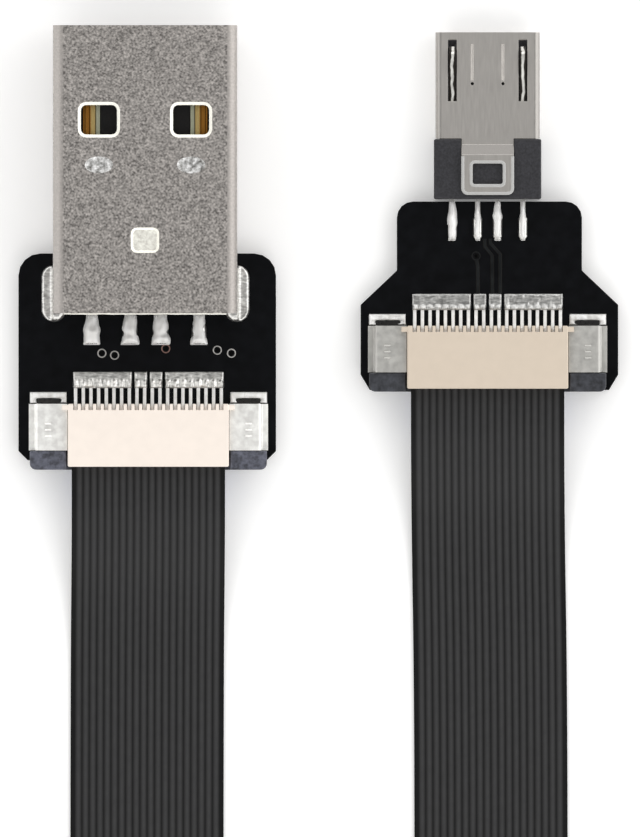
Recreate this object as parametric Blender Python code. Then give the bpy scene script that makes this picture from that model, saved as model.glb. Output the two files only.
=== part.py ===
"""Flat flex USB cable: a USB-A plug and a Micro-B plug, each soldered to a small board of its own,
and a flat ribbon of twenty conductors that locks into a slide connector on each board.

Run it with blender --background --python part.py, or from the text editor. Lengths are in metres.
+Y points from the boards to the tips of the plugs, +X from the USB-A end to the Micro-B end, and +Z
is up. The boards lie on Z = 0, and the origin is under the middle of the box round the two ends.
"""
import math

import bmesh
import bpy
from mathutils import Vector

mm = 0.001

# Fits and cuts
fit_gap = 0.03 * mm             # between two pieces that touch or seat on each other
cut_overrun = 0.4 * mm          # how far a cutter runs past the faces that it cuts
corner_steps = 4                # segments in a rounded corner
hole_sides = 12                 # sides of a drilled hole

# Boards
board_thickness = 1.0 * mm
board_side_margin = 0.6 * mm    # board that shows beside the ribbon connector
boards_gap = 5.52 * mm          # between the two boards
tip_setback_b = 0.42 * mm       # the Micro-B tip lies this far behind the USB-A tip
plug_shift_x_a = -0.12 * mm     # the plugs and connectors are soldered a little off centre
plug_shift_x_b = -0.12 * mm
connector_shift_x_a = 0.08 * mm
connector_shift_x_b = -0.12 * mm
via_hole_diameter = 0.27 * mm
pad_thickness = 0.08 * mm       # the long solder pads behind the ribbon connectors

# Board of the USB-A end
board_a_corner_radius = 1.43 * mm
board_a_rear_chamfer = 0.6 * mm
board_a_rear_overhang = 0.42 * mm   # the ribbon connector stands past the board's rear edge
tail_to_pads_a = 1.83 * mm      # bare board between the plug's tails and the long pads
vias_a_shares = ((-0.176, 0.482), (-0.127, 0.492), (0.272, 0.467), (0.327, 0.482), (0.072, 0.460))

# Board of the Micro-B end, with a narrower neck under the plug's tails
board_b_corner_radius = 1.05 * mm
board_b_neck_width = 12.07 * mm
board_b_neck_length = 4.5 * mm
board_b_shoulder_length = 2.24 * mm
board_b_rear_chamfer_x = 0.6 * mm
board_b_rear_chamfer_y = 1.0 * mm
board_b_rear_margin = 0.09 * mm     # board that shows behind the ribbon connector
tail_to_pads_b = 3.54 * mm
vias_b_shares = ((-0.052, 0.289),)

# USB-A shell, a folded sheet with a seam in its underside
shell_a_width = 12.0 * mm
shell_a_height = 4.5 * mm
shell_a_length = 18.75 * mm
shell_a_wall = 0.3 * mm
shell_a_corner_radius = 0.65 * mm
shell_a_seat = 3.91 * mm        # how much of the shell stands on the board
shell_a_seam = 0.06 * mm
seam_key_reach = 0.9 * mm       # the seam's dovetail key
seam_key_neck = 0.7 * mm
seam_key_flare = 0.2 * mm
seam_key_from_tip = 10.2 * mm
window_a_width = 2.35 * mm
window_a_length = 1.92 * mm
window_a_radius = 0.35 * mm
window_a_rim = 0.2 * mm         # the rolled rim round a window
window_a_rim_depth = 0.12 * mm
window_a_offset_x = 3.0 * mm
window_a_from_tip = 6.16 * mm
dimple_width = 1.85 * mm
dimple_length = 1.1 * mm
dimple_depth = 0.16 * mm
dimple_from_tip = 9.1 * mm
lance_width = 1.85 * mm
lance_length = 1.65 * mm
lance_radius = 0.4 * mm
lance_slope = 0.16 * mm
lance_depth = 0.14 * mm
lance_from_tip = 14.0 * mm
leg_length = 2.2 * mm
leg_from_rear = 1.3 * mm        # from the shell's rear edge to the leg's middle
leg_slot_gap = 0.1 * mm         # round the leg in its plated slot
leg_pad_width = 1.45 * mm
leg_pad_length = 3.62 * mm
leg_solder_height = 0.75 * mm
tail_door_width = 8.9 * mm      # opening in the shell's underside for the contact tails
tail_door_length = 0.85 * mm

# USB-A insulator and contacts
tongue_a_thickness = 1.92 * mm
tongue_a_recess = 0.6 * mm      # tongue's front behind the shell's mouth
tongue_a_chamfer = 0.35 * mm
block_a_from_tip = 11.6 * mm    # the insulator fills the shell from here back
block_a_rear_recess = 0.8 * mm
contact_a_outer_x = 3.5 * mm
contact_a_inner_x = 1.0 * mm
contact_a_width = 1.1 * mm
contact_a_thickness = 0.25 * mm
contact_a_proud = 0.05 * mm     # the contacts stand this far above the tongue
contact_a_outer_start = 1.3 * mm
contact_a_inner_start = 2.3 * mm
contact_a_bend = 0.3 * mm
tail_a_width = 0.72 * mm
tail_a_length = 2.0 * mm        # tail that shows behind the shell
tail_a_overlap = 1.5 * mm       # the wide blade and the narrow tail share this length
tail_a_solder_width = 0.98 * mm
tail_a_solder_length = 1.5 * mm
tail_a_solder_height = 0.36 * mm

# Micro-B shell, a six-sided tube with its wide face up and a tab that holds the block behind it
shell_b_width = 6.8 * mm
shell_b_base_width = 5.4 * mm
shell_b_height = 1.8 * mm
shell_b_side_height = 0.9 * mm
shell_b_length = 6.93 * mm
shell_b_wall = 0.25 * mm
shell_b_corner_radius = 0.38 * mm
shell_b_drop = 0.8 * mm         # the shell's underside lies this far below the board's top
shell_b_seam = 0.05 * mm
latch_slot_offset_x = 2.3 * mm
latch_slot_width = 0.58 * mm
latch_slot_start = 0.44 * mm
latch_slot_end = 4.5 * mm
groove_offset_x = 1.0 * mm      # two stamped lines on the wide face
groove_width = 0.16 * mm
groove_depth = 0.05 * mm
groove_start = 0.8 * mm
groove_end = 3.14 * mm
groove_hole_diameter = 0.22 * mm
groove_hole_from_tip = 3.35 * mm
tab_width = 3.4 * mm
tab_length = 3.66 * mm
tab_root = 0.5 * mm             # how far the tab's root runs into the shell's wall
tab_rise_start = 0.42 * mm      # the tab steps up on to the block between these two
tab_rise_end = 1.1 * mm
tab_corner_radius = 0.4 * mm
tab_window_width = 1.98 * mm
tab_window_length = 1.37 * mm
tab_window_radius = 0.15 * mm
tab_window_from_shell = 2.3 * mm

# Micro-B insulator, contacts and latch springs
block_b_length = 3.92 * mm
block_b_side_margin = 0.1 * mm  # the block is wider and higher than the shell by this much a side
block_b_height_margin = 0.15 * mm
block_b_softening = 0.08 * mm
block_b_to_board = 0.15 * mm
floor_b_recess = 0.5 * mm       # insulator floor behind the shell's mouth
core_b_from_tip = 4.75 * mm     # the insulator fills the shell from here back
contact_b_pitch = 0.65 * mm
contact_b_width = 0.32 * mm
contact_b_thickness = 0.12 * mm
contact_b_proud = 0.03 * mm
contact_b_start = 1.0 * mm
contact_b_bend = 0.26 * mm      # of the middle line, more than half of the width
contact_b_fan_start = 7.6 * mm  # from the tip to where the outer contacts spread
contact_b_fan_end = 8.6 * mm
contact_b_step_start = 8.5 * mm     # and to where the third contact steps sideways
contact_b_step_end = 9.3 * mm
contact_b_short_end = 7.4 * mm  # the fourth contact has no tail
tail_b_outer_x = 2.3 * mm
tail_b_length = 2.5 * mm        # tail that lies on the board
tail_b_solder_width = 0.62 * mm
tail_b_solder_length = 1.6 * mm
tail_b_solder_height = 0.3 * mm
latch_width = 0.42 * mm
latch_thickness = 0.18 * mm
latch_front = 1.0 * mm          # from the tip to the spring's bent-down front
latch_root = 6.3 * mm           # and to its end inside the insulator
latch_rise = 0.3 * mm           # the hook stands this far above the shell
latch_front_drop = 0.45 * mm    # the hook's front edge dips this far below the shell's top
latch_bend = 0.15 * mm

# Ribbon connector, the same at both ends
power_pin_count = 8             # pins that share a solder pad
data_pin_count = 2
ground_pin_count = 8
pin_pitch = 0.5 * mm
pin_width = 0.22 * mm
pin_thickness = 0.12 * mm
pin_foot = 1.04 * mm            # pin that shows between the housing and the pad
pin_on_pad = 0.5 * mm
pin_riser_from_rear = 0.2 * mm
pin_beam_end = 2.7 * mm
pin_nub_end = 3.0 * mm
pad_length = 1.03 * mm
pad_margin = 0.04 * mm          # pad beyond its outermost pins, which leaves bare board between groups
housing_depth = 4.1 * mm
housing_side_wall = 0.19 * mm
housing_floor = 0.3 * mm
housing_roof = 0.53 * mm        # roof above the pins' beams
housing_softening = 0.07 * mm
beam_room = 0.4 * mm            # height of the beams' grooves over the ribbon slot
beam_groove_end = 3.2 * mm
pin_notch_depth = 0.4 * mm      # notches between the teeth of the rear edge
shoulder_width = 0.37 * mm
shoulder_length = 0.33 * mm
slot_depth = 3.25 * mm          # from the housing's front edge
front_notch_depth = 0.6 * mm    # the floor and sides stop short to let the slider's bar in
slider_tongue = 0.3 * mm        # thickness of the tongue that presses the ribbon up
slider_tongue_clearance = 0.4 * mm
slider_lip = 0.2 * mm           # the slider stands out past the housing's front edge
slider_travel = 1.2 * mm
ear_width = 2.38 * mm
ear_height = 1.55 * mm
ear_side_gap = 0.1 * mm
ear_corner_radius = 0.4 * mm
ear_softening = 0.05 * mm
arm_inner_step = 0.3 * mm       # the arms stand in from the ears' sides
arm_outer_step = 0.75 * mm
arm_lift = 0.3 * mm
arm_height = 0.85 * mm
arm_length = 2.0 * mm
nail_thickness = 0.2 * mm
nail_height = 1.6 * mm
nail_length = 3.04 * mm
nail_plate_width = 2.12 * mm
nail_width = 2.52 * mm
nail_bend = 0.16 * mm
nail_flange_setback = 0.15 * mm
nail_flange_reach = 0.72 * mm
nail_flange_margin = 0.1 * mm

# Flat ribbon and the stiffening tape under its ends
ribbon_thickness = 0.2 * mm
ribbon_side_gap = 0.06 * mm
ribbon_insert = 3.15 * mm
ribbon_stations = 76
stiffener_thickness = 0.12 * mm
stiffener_reach = 2.4 * mm      # tape that shows outside the housing

# Shares of a solder mound's height and of its outline, and of a dimple's depth, step by step
solder_shares = ((0.0, 1.0), (0.4, 0.94), (0.8, 0.72), (1.0, 0.4))
pit_depth_shares = (0.0, 0.4, 0.75, 0.95)

# Sizes that follow from those above
pin_groups = (
    ("power", power_pin_count), ("data_minus", data_pin_count),
    ("data_plus", data_pin_count), ("ground", ground_pin_count),
)
pin_count = sum(count for label, count in pin_groups)
ribbon_width = pin_count * pin_pitch
slot_width = ribbon_width + 2 * ribbon_side_gap
housing_width = slot_width + 2 * housing_side_wall
connector_width = housing_width + 2 * (fit_gap + nail_width)
board_width = connector_width + 2 * board_side_margin
ends_spacing = board_width + boards_gap

floor_top = fit_gap + housing_floor
tongue_bottom = floor_top + fit_gap
tongue_top = tongue_bottom + slider_tongue
stiffener_bottom = tongue_top + fit_gap
ribbon_bottom = stiffener_bottom + stiffener_thickness + fit_gap
ribbon_level = ribbon_bottom + ribbon_thickness / 2
slot_roof = ribbon_bottom + ribbon_thickness + fit_gap
groove_top = slot_roof + beam_room
housing_top = groove_top + housing_roof

pads_reach = pin_foot + pad_length
connector_setback_a = shell_a_seat + tail_a_length + tail_to_pads_a + pads_reach
connector_setback_b = tail_b_length + tail_to_pads_b + pads_reach
board_a_length = connector_setback_a + housing_depth - board_a_rear_overhang
board_b_length = connector_setback_b + housing_depth + board_b_rear_margin
ends_depth = shell_a_length - shell_a_seat + connector_setback_a + housing_depth + slider_lip

tip_y_a = ends_depth / 2
tip_y_b = tip_y_a - tip_setback_b
plug_b_overhang = shell_b_length + fit_gap + block_b_length + block_b_to_board
front_y_a = tip_y_a - shell_a_length + shell_a_seat
front_y_b = tip_y_b - plug_b_overhang
connector_y_a = front_y_a - connector_setback_a
connector_y_b = front_y_b - connector_setback_b
connector_x_a = connector_shift_x_a - ends_spacing / 2
connector_x_b = connector_shift_x_b + ends_spacing / 2

# The ribbon's way from one connector round to the other, as (x, y, rise, roll). The rise is a share
# of the height at which it leaves a connector, and 0 lies on the ground. The roll in degrees turns
# it on edge, with its top face to the inside of the loop.
ribbon_loop = (
    (-11.09 * mm, -19.2 * mm, 0.72, 0.0),
    (-11.12 * mm, -22.6 * mm, 0.26, 0.0),
    (-11.15 * mm, -26.5 * mm, 0.03, 0.0),
    (-11.17 * mm, -32.5 * mm, 0.0, 0.0),
    (-11.18 * mm, -38.5 * mm, 0.0, 0.0),
    (-11.18 * mm, -44.5 * mm, 0.0, 9.0),
    (-11.35 * mm, -50.5 * mm, 0.0, 30.0),
    (-11.95 * mm, -56.5 * mm, 0.0, 54.0),
    (-13.1 * mm, -62.5 * mm, 0.0, 75.0),
    (-14.75 * mm, -68.5 * mm, 0.0, 88.0),
    (-16.3 * mm, -74.4 * mm, 0.0, 90.0),
    (-16.9 * mm, -80.6 * mm, 0.0, 90.0),
    (-15.6 * mm, -87.0 * mm, 0.0, 90.0),
    (-11.95 * mm, -92.5 * mm, 0.0, 90.0),
    (-6.47 * mm, -96.1 * mm, 0.0, 90.0),
    (0.0 * mm, -97.4 * mm, 0.0, 90.0),
    (6.5 * mm, -96.1 * mm, 0.0, 90.0),
    (12.0 * mm, -92.5 * mm, 0.0, 90.0),
    (15.65 * mm, -87.0 * mm, 0.0, 90.0),
    (16.95 * mm, -80.6 * mm, 0.0, 90.0),
    (16.35 * mm, -74.4 * mm, 0.0, 90.0),
    (14.8 * mm, -68.5 * mm, 0.0, 88.0),
    (13.15 * mm, -62.5 * mm, 0.0, 75.0),
    (12.0 * mm, -56.5 * mm, 0.0, 54.0),
    (11.42 * mm, -50.5 * mm, 0.0, 30.0),
    (11.28 * mm, -44.5 * mm, 0.0, 9.0),
    (11.27 * mm, -38.5 * mm, 0.0, 0.0),
    (11.25 * mm, -32.0 * mm, 0.0, 0.0),
    (11.2 * mm, -26.0 * mm, 0.0, 0.0),
    (11.13 * mm, -21.4 * mm, 0.03, 0.0),
    (11.08 * mm, -17.5 * mm, 0.26, 0.0),
    (11.05 * mm, -14.1 * mm, 0.72, 0.0),
)

# Finishes: base colour, roughness and metallic value
finishes = {
    "nickel_shell": ((0.36, 0.34, 0.32), 0.38, 1.0),
    "tinned_contact": ((0.72, 0.71, 0.68), 0.3, 1.0),
    "gold_contact": ((0.83, 0.6, 0.25), 0.25, 1.0),
    "solder": ((0.78, 0.77, 0.74), 0.22, 1.0),
    "spring_steel": ((0.6, 0.59, 0.57), 0.3, 1.0),
    "black_board": ((0.012, 0.013, 0.018), 0.45, 0.0),
    "black_insulator": ((0.015, 0.015, 0.016), 0.5, 0.0),
    "grey_insulator": ((0.045, 0.045, 0.05), 0.5, 0.0),
    "cream_housing": ((0.83, 0.76, 0.66), 0.5, 0.0),
    "dark_slider": ((0.07, 0.075, 0.105), 0.45, 0.0),
    "black_ribbon": ((0.02, 0.02, 0.021), 0.42, 0.0),
    "blue_stiffener": ((0.03, 0.13, 0.42), 0.4, 0.0),
}


def clear_scene():
    for obj in list(bpy.data.objects):
        bpy.data.objects.remove(obj, do_unlink=True)


def material(finish):
    """The Principled material of a finish, made the first time that it is asked for."""
    found = bpy.data.materials.get(finish)
    if found:
        return found
    made = bpy.data.materials.new(finish)
    made.use_nodes = True
    shader = made.node_tree.nodes["Principled BSDF"]
    color, roughness, metallic = finishes[finish]
    shader.inputs["Base Color"].default_value = (*color, 1.0)
    shader.inputs["Roughness"].default_value = roughness
    shader.inputs["Metallic"].default_value = metallic
    return made


def make_empty(name, place, parent=None):
    empty = bpy.data.objects.new(name, None)
    empty.location = place
    empty.parent = parent
    bpy.context.scene.collection.objects.link(empty)
    return empty


def make_object(name, bm, finish, parent):
    """Turn a bmesh into an object that sits at its parent."""
    bmesh.ops.recalc_face_normals(bm, faces=bm.faces)
    mesh = bpy.data.meshes.new(name)
    bm.to_mesh(mesh)
    bm.free()
    if finish:
        mesh.materials.append(material(finish))
    obj = bpy.data.objects.new(name, mesh)
    obj.parent = parent
    bpy.context.scene.collection.objects.link(obj)
    return obj


def combine(target, bm, purpose, operation):
    """Keep a bmesh as a hidden tool object and use it on the target in a Boolean modifier."""
    tool = make_object(f"{target.name}_{purpose}", bm, None, target.parent)
    tool.hide_render = True
    tool.display_type = "WIRE"
    modifier = target.modifiers.new(purpose, "BOOLEAN")
    modifier.operation = operation
    modifier.solver = "EXACT"
    modifier.object = tool


def cut(target, bm, purpose):
    combine(target, bm, purpose, "DIFFERENCE")


def join(target, bm, purpose):
    combine(target, bm, purpose, "UNION")


def smooth(obj, angle=math.radians(30)):
    obj.data.shade_smooth()
    obj.data.set_sharp_from_angle(angle=angle)


def rectangle(width, length, center=(0.0, 0.0)):
    """Corners of a rectangle, counter-clockwise."""
    across, along = center
    return [
        Vector((across - width / 2, along - length / 2)),
        Vector((across + width / 2, along - length / 2)),
        Vector((across + width / 2, along + length / 2)),
        Vector((across - width / 2, along + length / 2)),
    ]


def ellipse(width, length, center, sides):
    turns = [2 * math.pi * i / sides for i in range(sides)]
    middle = Vector(center)
    return [middle + Vector((width / 2 * math.cos(a), length / 2 * math.sin(a))) for a in turns]


def stadium(width, length, center=(0.0, 0.0)):
    """Outline with two straight sides along the second axis and two half-round ends."""
    radius = width / 2
    reach = length / 2 - radius
    middle = Vector(center)
    points = []
    for end, start_angle in ((reach, 0.0), (-reach, math.pi)):
        for i in range(2 * corner_steps + 1):
            angle = start_angle + math.pi * i / (2 * corner_steps)
            points.append(middle + Vector((radius * math.cos(angle), end + radius * math.sin(angle))))
    return points


def round_corners(corners, radii, closed=True):
    """Replace the corners of an outline, or of an open path, by arcs."""
    count = len(corners)
    if not isinstance(radii, (list, tuple)):
        radii = [radii] * count
    points = []
    for i, radius in enumerate(radii):
        here = Vector(corners[i])
        at_end = not closed and i in (0, count - 1)
        if radius <= 0 or at_end:
            points.append(here)
            continue
        before = (Vector(corners[i - 1]) - here).normalized()
        after = (Vector(corners[(i + 1) % count]) - here).normalized()
        half_angle = before.angle(after) / 2
        center = here + (before + after).normalized() * (radius / math.sin(half_angle))
        first = here + before * (radius / math.tan(half_angle)) - center
        sweep = first.angle_signed(here + after * (radius / math.tan(half_angle)) - center)
        start = math.atan2(first.y, first.x)
        for step in range(corner_steps + 1):
            angle = start - sweep * step / corner_steps
            points.append(center + Vector((radius * math.cos(angle), radius * math.sin(angle))))
    return points


def side_of(direction):
    return Vector((-direction.y, direction.x))


def inset(corners, distance):
    """Move every edge of a counter-clockwise outline inwards by one distance."""
    moved = []
    for i, corner in enumerate(corners):
        before = side_of((corner - corners[i - 1]).normalized())
        after = side_of((corners[(i + 1) % len(corners)] - corner).normalized())
        toward = (before + after).normalized()
        moved.append(corner + toward * (distance / toward.dot(before)))
    return moved


def band(path, thickness):
    """Outline of a strip of even thickness whose middle follows an open path."""
    left = []
    right = []
    last = len(path) - 1
    for i, point in enumerate(path):
        before = side_of((path[max(i, 1)] - path[max(i, 1) - 1]).normalized())
        after = side_of((path[min(i, last - 1) + 1] - path[min(i, last - 1)]).normalized())
        toward = (before + after).normalized()
        reach = toward * (thickness / 2 / toward.dot(before))
        left.append(point + reach)
        right.append(point - reach)
    return left + right[::-1]


def bent_path(points, radius):
    return round_corners([Vector(point) for point in points], radius, closed=False)


def on_plane(plane, point, depth):
    """A point drawn in the XY, XZ or YZ plane, at a depth along the third axis."""
    first, second = point
    if plane == "XY":
        return Vector((first, second, depth))
    if plane == "XZ":
        return Vector((first, depth, second))
    return Vector((depth, first, second))


def add_prism(bm, outline, plane, start, end):
    """Extrude an outline from one depth to another."""
    cap = bm.faces.new([bm.verts.new(on_plane(plane, point, start)) for point in outline])
    grown = bmesh.ops.extrude_face_region(bm, geom=[cap])["geom"]
    moved = [part for part in grown if isinstance(part, bmesh.types.BMVert)]
    bmesh.ops.translate(bm, vec=on_plane(plane, (0.0, 0.0), end - start), verts=moved)


def add_box(bm, x_range, y_range, z_range):
    width = x_range[1] - x_range[0]
    length = y_range[1] - y_range[0]
    middle = ((x_range[0] + x_range[1]) / 2, (y_range[0] + y_range[1]) / 2)
    add_prism(bm, rectangle(width, length, middle), "XY", z_range[0], z_range[1])


def add_loft(bm, loops):
    """Skin a closed solid through loops that have the same number of points."""
    rings = [[bm.verts.new(point) for point in loop] for loop in loops]
    bm.faces.new(rings[0])
    bm.faces.new(rings[-1])
    for lower, upper in zip(rings, rings[1:]):
        for i, vert in enumerate(lower):
            following = (i + 1) % len(lower)
            bm.faces.new((vert, lower[following], upper[following], upper[i]))


def add_mound(bm, outline, center, base, steps):
    """Loft an outline through (height, size share) steps about its centre."""
    middle = Vector(center)
    loops = []
    for height, share in steps:
        shrunk = [middle + (point - middle) * share for point in outline]
        loops.append([on_plane("XY", point, base + height) for point in shrunk])
    add_loft(bm, loops)


def add_tube(bm, outer, inner, plane, start, end):
    """A tube between two outlines that have the same number of points."""
    rings = []
    for outline, depth in ((outer, start), (outer, end), (inner, end), (inner, start)):
        rings.append([bm.verts.new(on_plane(plane, point, depth)) for point in outline])
    for ring, after in zip(rings, rings[1:] + rings[:1]):
        for i, vert in enumerate(ring):
            following = (i + 1) % len(ring)
            bm.faces.new((vert, ring[following], after[following], after[i]))


def soften(bm, width):
    """Chamfer every edge of what the bmesh holds so far."""
    bmesh.ops.bevel(bm, geom=list(bm.edges), offset=width, segments=1, affect="EDGES", profile=0.5)


def solder_steps(height):
    """Solder rises steeply from its edge and flattens towards its top."""
    return [(height * rise_share, size_share) for rise_share, size_share in solder_shares]


def pin_positions():
    """The x of every pin, with the label of its group."""
    positions = []
    for label, count in pin_groups:
        for _ in range(count):
            x = (len(positions) - (pin_count - 1) / 2) * pin_pitch
            positions.append((label, x))
    return positions


def drill_vias(board, shares, length):
    bm = bmesh.new()
    for across_share, back_share in shares:
        center = (board_width * across_share, -length * back_share)
        outline = ellipse(via_hole_diameter, via_hole_diameter, center, hole_sides)
        add_prism(bm, outline, "XY", -board_thickness - cut_overrun, cut_overrun)
    cut(board, bm, "vias")


def make_board_a(end):
    """Board with rounded front corners, and two slots for the legs of the shell."""
    half = board_width / 2
    chamfer = board_a_rear_chamfer
    corners = [
        (chamfer - half, -board_a_length), (half - chamfer, -board_a_length),
        (half, chamfer - board_a_length), (half, 0.0), (-half, 0.0), (-half, chamfer - board_a_length),
    ]
    radii = [0.0, 0.0, 0.0, board_a_corner_radius, board_a_corner_radius, 0.0]
    bm = bmesh.new()
    add_prism(bm, round_corners(corners, radii), "XY", -board_thickness, 0.0)
    board = make_object("usb_a_board", bm, "black_board", end)
    slots = bmesh.new()
    for side in (-1, 1):
        center = (plug_shift_x_a + side * (shell_a_width - shell_a_wall) / 2, leg_from_rear - shell_a_seat)
        outline = stadium(shell_a_wall + 2 * leg_slot_gap, leg_length + 2 * leg_slot_gap, center)
        add_prism(slots, outline, "XY", -board_thickness - cut_overrun, cut_overrun)
    cut(board, slots, "leg_slots")
    drill_vias(board, vias_a_shares, board_a_length)


def make_board_b(end):
    """Board with a narrow neck under the plug's tails and sloping shoulders behind it."""
    half = board_width / 2
    neck = board_b_neck_width / 2
    shoulder = -board_b_neck_length - board_b_shoulder_length
    chamfer_x = board_b_rear_chamfer_x
    chamfer_y = board_b_rear_chamfer_y
    corners = [
        (chamfer_x - half, -board_b_length), (half - chamfer_x, -board_b_length),
        (half, chamfer_y - board_b_length), (half, shoulder), (neck, -board_b_neck_length), (neck, 0.0),
        (-neck, 0.0), (-neck, -board_b_neck_length), (-half, shoulder),
        (-half, chamfer_y - board_b_length),
    ]
    radii = [0.0] * len(corners)
    radii[5] = board_b_corner_radius
    radii[6] = board_b_corner_radius
    bm = bmesh.new()
    add_prism(bm, round_corners(corners, radii), "XY", -board_thickness, 0.0)
    board = make_object("micro_b_board", bm, "black_board", end)
    drill_vias(board, vias_b_shares, board_b_length)


def shell_a_corners():
    return rectangle(shell_a_width, shell_a_height, (0.0, shell_a_height / 2))


def window_cutter(bm, x, y):
    """A window with a rim that slopes in from the shell's top face."""
    center = (x, y)
    wide = rectangle(window_a_width + 2 * window_a_rim, window_a_length + 2 * window_a_rim, center)
    wide = round_corners(wide, window_a_radius + window_a_rim)
    narrow = round_corners(rectangle(window_a_width, window_a_length, center), window_a_radius)
    top = shell_a_height
    levels = (
        (narrow, top - shell_a_wall - cut_overrun), (narrow, top - window_a_rim_depth),
        (wide, top), (wide, top + cut_overrun),
    )
    add_loft(bm, [[on_plane("XY", point, height) for point in outline] for outline, height in levels])


def seam_cutter(bm):
    """A fine gap along the underside, with one dovetail key."""
    front = seam_key_neck / 2 - seam_key_from_tip
    rear = -seam_key_neck / 2 - seam_key_from_tip
    path = [
        Vector((0.0, cut_overrun)), Vector((0.0, front)),
        Vector((seam_key_reach, front + seam_key_flare)), Vector((seam_key_reach, rear - seam_key_flare)),
        Vector((0.0, rear)), Vector((0.0, tail_door_length - shell_a_length - cut_overrun)),
    ]
    add_prism(bm, band(path, shell_a_seam), "XY", -cut_overrun, shell_a_wall + cut_overrun)


def make_shell_a(plug):
    """Folded shell: a tube with windows, stamped dimples, a lance, a seam and two legs."""
    corners = shell_a_corners()
    outer = round_corners(corners, shell_a_corner_radius)
    inner = round_corners(inset(corners, shell_a_wall), shell_a_corner_radius - shell_a_wall)
    bm = bmesh.new()
    add_tube(bm, outer, inner, "XZ", -shell_a_length, 0.0)
    shell = make_object("usb_a_shell", bm, "nickel_shell", plug)

    legs = bmesh.new()
    bumps = bmesh.new()
    pits = bmesh.new()
    openings = bmesh.new()
    leg_middle = leg_from_rear - shell_a_length
    top = shell_a_height
    pit_curve = [(depth_share, math.sqrt(1 - depth_share ** 2)) for depth_share in pit_depth_shares]
    for side in (-1, 1):
        outer_x = side * shell_a_width / 2
        inner_x = side * (shell_a_width / 2 - shell_a_wall)
        add_box(
            legs, sorted((outer_x, inner_x)), (leg_middle - leg_length / 2, leg_middle + leg_length / 2),
            (-board_thickness - fit_gap, shell_a_corner_radius + shell_a_wall))
        window_cutter(openings, side * window_a_offset_x, -window_a_from_tip)
        under = rectangle(window_a_width, window_a_length, (side * window_a_offset_x, -window_a_from_tip))
        add_prism(
            openings, round_corners(under, window_a_radius), "XY", -cut_overrun, shell_a_wall + cut_overrun)
        center = (side * window_a_offset_x, -dimple_from_tip)
        bump = ellipse(dimple_width + shell_a_wall, dimple_length + shell_a_wall, center, 2 * hole_sides)
        bump_steps = [(-(shell_a_wall / 2 + dimple_depth) * deep, size) for deep, size in pit_curve]
        add_mound(bumps, bump, center, top - shell_a_wall / 2, bump_steps)
        pit = ellipse(dimple_width, dimple_length, center, 2 * hole_sides)
        pit_steps = [(cut_overrun, 1.0)] + [(-dimple_depth * deep, size) for deep, size in pit_curve]
        add_mound(pits, pit, center, top, pit_steps)

    lance_center = (0.0, -lance_from_tip)
    wide = round_corners(rectangle(lance_width, lance_length, lance_center), lance_radius)
    narrow = rectangle(lance_width - 2 * lance_slope, lance_length - 2 * lance_slope, lance_center)
    narrow = round_corners(narrow, lance_radius - lance_slope)
    levels = ((narrow, top - lance_depth), (wide, top), (wide, top + cut_overrun))
    add_loft(pits, [[on_plane("XY", point, height) for point in outline] for outline, height in levels])

    add_box(
        openings, (-tail_door_width / 2, tail_door_width / 2),
        (-shell_a_length - cut_overrun, tail_door_length - shell_a_length),
        (-cut_overrun, shell_a_wall + fit_gap))
    seam = bmesh.new()
    seam_cutter(seam)
    join(shell, legs, "legs")
    join(shell, bumps, "bumps")
    cut(shell, pits, "pits")
    cut(shell, openings, "openings")
    cut(shell, seam, "seam")


def make_leg_solder(plug, side, label):
    """Solder that climbs the outside of the shell over one leg's pad."""
    x = side * (shell_a_width - shell_a_wall) / 2
    y = leg_from_rear - shell_a_length
    bm = bmesh.new()
    outline = stadium(leg_pad_width, leg_pad_length, (x, y))
    add_mound(bm, outline, (x, y), 0.0, solder_steps(leg_solder_height))
    solder = make_object(f"usb_a_leg_solder_{label}", bm, "solder", plug)
    around = bmesh.new()
    grown = round_corners(inset(shell_a_corners(), -fit_gap), shell_a_corner_radius + fit_gap)
    add_prism(around, grown, "XZ", -shell_a_length - fit_gap, 0.0)
    cut(solder, around, "shell_room")
    leg = bmesh.new()
    half_width = shell_a_wall / 2 + fit_gap
    half_length = leg_length / 2 + fit_gap
    add_box(
        leg, (x - half_width, x + half_width), (y - half_length, y + half_length),
        (-cut_overrun, shell_a_corner_radius + shell_a_wall))
    cut(solder, leg, "leg_room")


def contact_a_level():
    tongue_top_a = shell_a_wall + fit_gap + tongue_a_thickness
    return tongue_top_a + contact_a_proud - contact_a_thickness / 2


def make_insulator_a(plug):
    """Insulator: a block that fills the shell's rear and a tongue that carries the contacts."""
    depth = shell_a_wall + fit_gap
    section = round_corners(inset(shell_a_corners(), depth), shell_a_corner_radius - shell_a_wall)
    rear = block_a_rear_recess - shell_a_length
    bm = bmesh.new()
    add_prism(bm, section, "XZ", rear, -tongue_a_recess)
    insulator = make_object("usb_a_insulator", bm, "black_insulator", plug)

    tongue = depth + tongue_a_thickness
    above = shell_a_height + cut_overrun
    profile = [
        (-block_a_from_tip, above), (-block_a_from_tip, tongue),
        (-tongue_a_recess - tongue_a_chamfer, tongue), (-tongue_a_recess, tongue - tongue_a_chamfer),
        (cut_overrun, tongue - tongue_a_chamfer), (cut_overrun, above),
    ]
    mouth = bmesh.new()
    half = shell_a_width / 2
    add_prism(mouth, [Vector(point) for point in profile], "YZ", -half, half)
    cut(insulator, mouth, "mouth")

    grooves = bmesh.new()
    half_width = contact_a_width / 2 + fit_gap
    half_height = contact_a_thickness / 2 + fit_gap
    level = contact_a_level()
    for x, start in contacts_a():
        add_box(
            grooves, (x - half_width, x + half_width), (rear - cut_overrun, fit_gap - start),
            (level - half_height, level + half_height))
    cut(insulator, grooves, "grooves")


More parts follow.
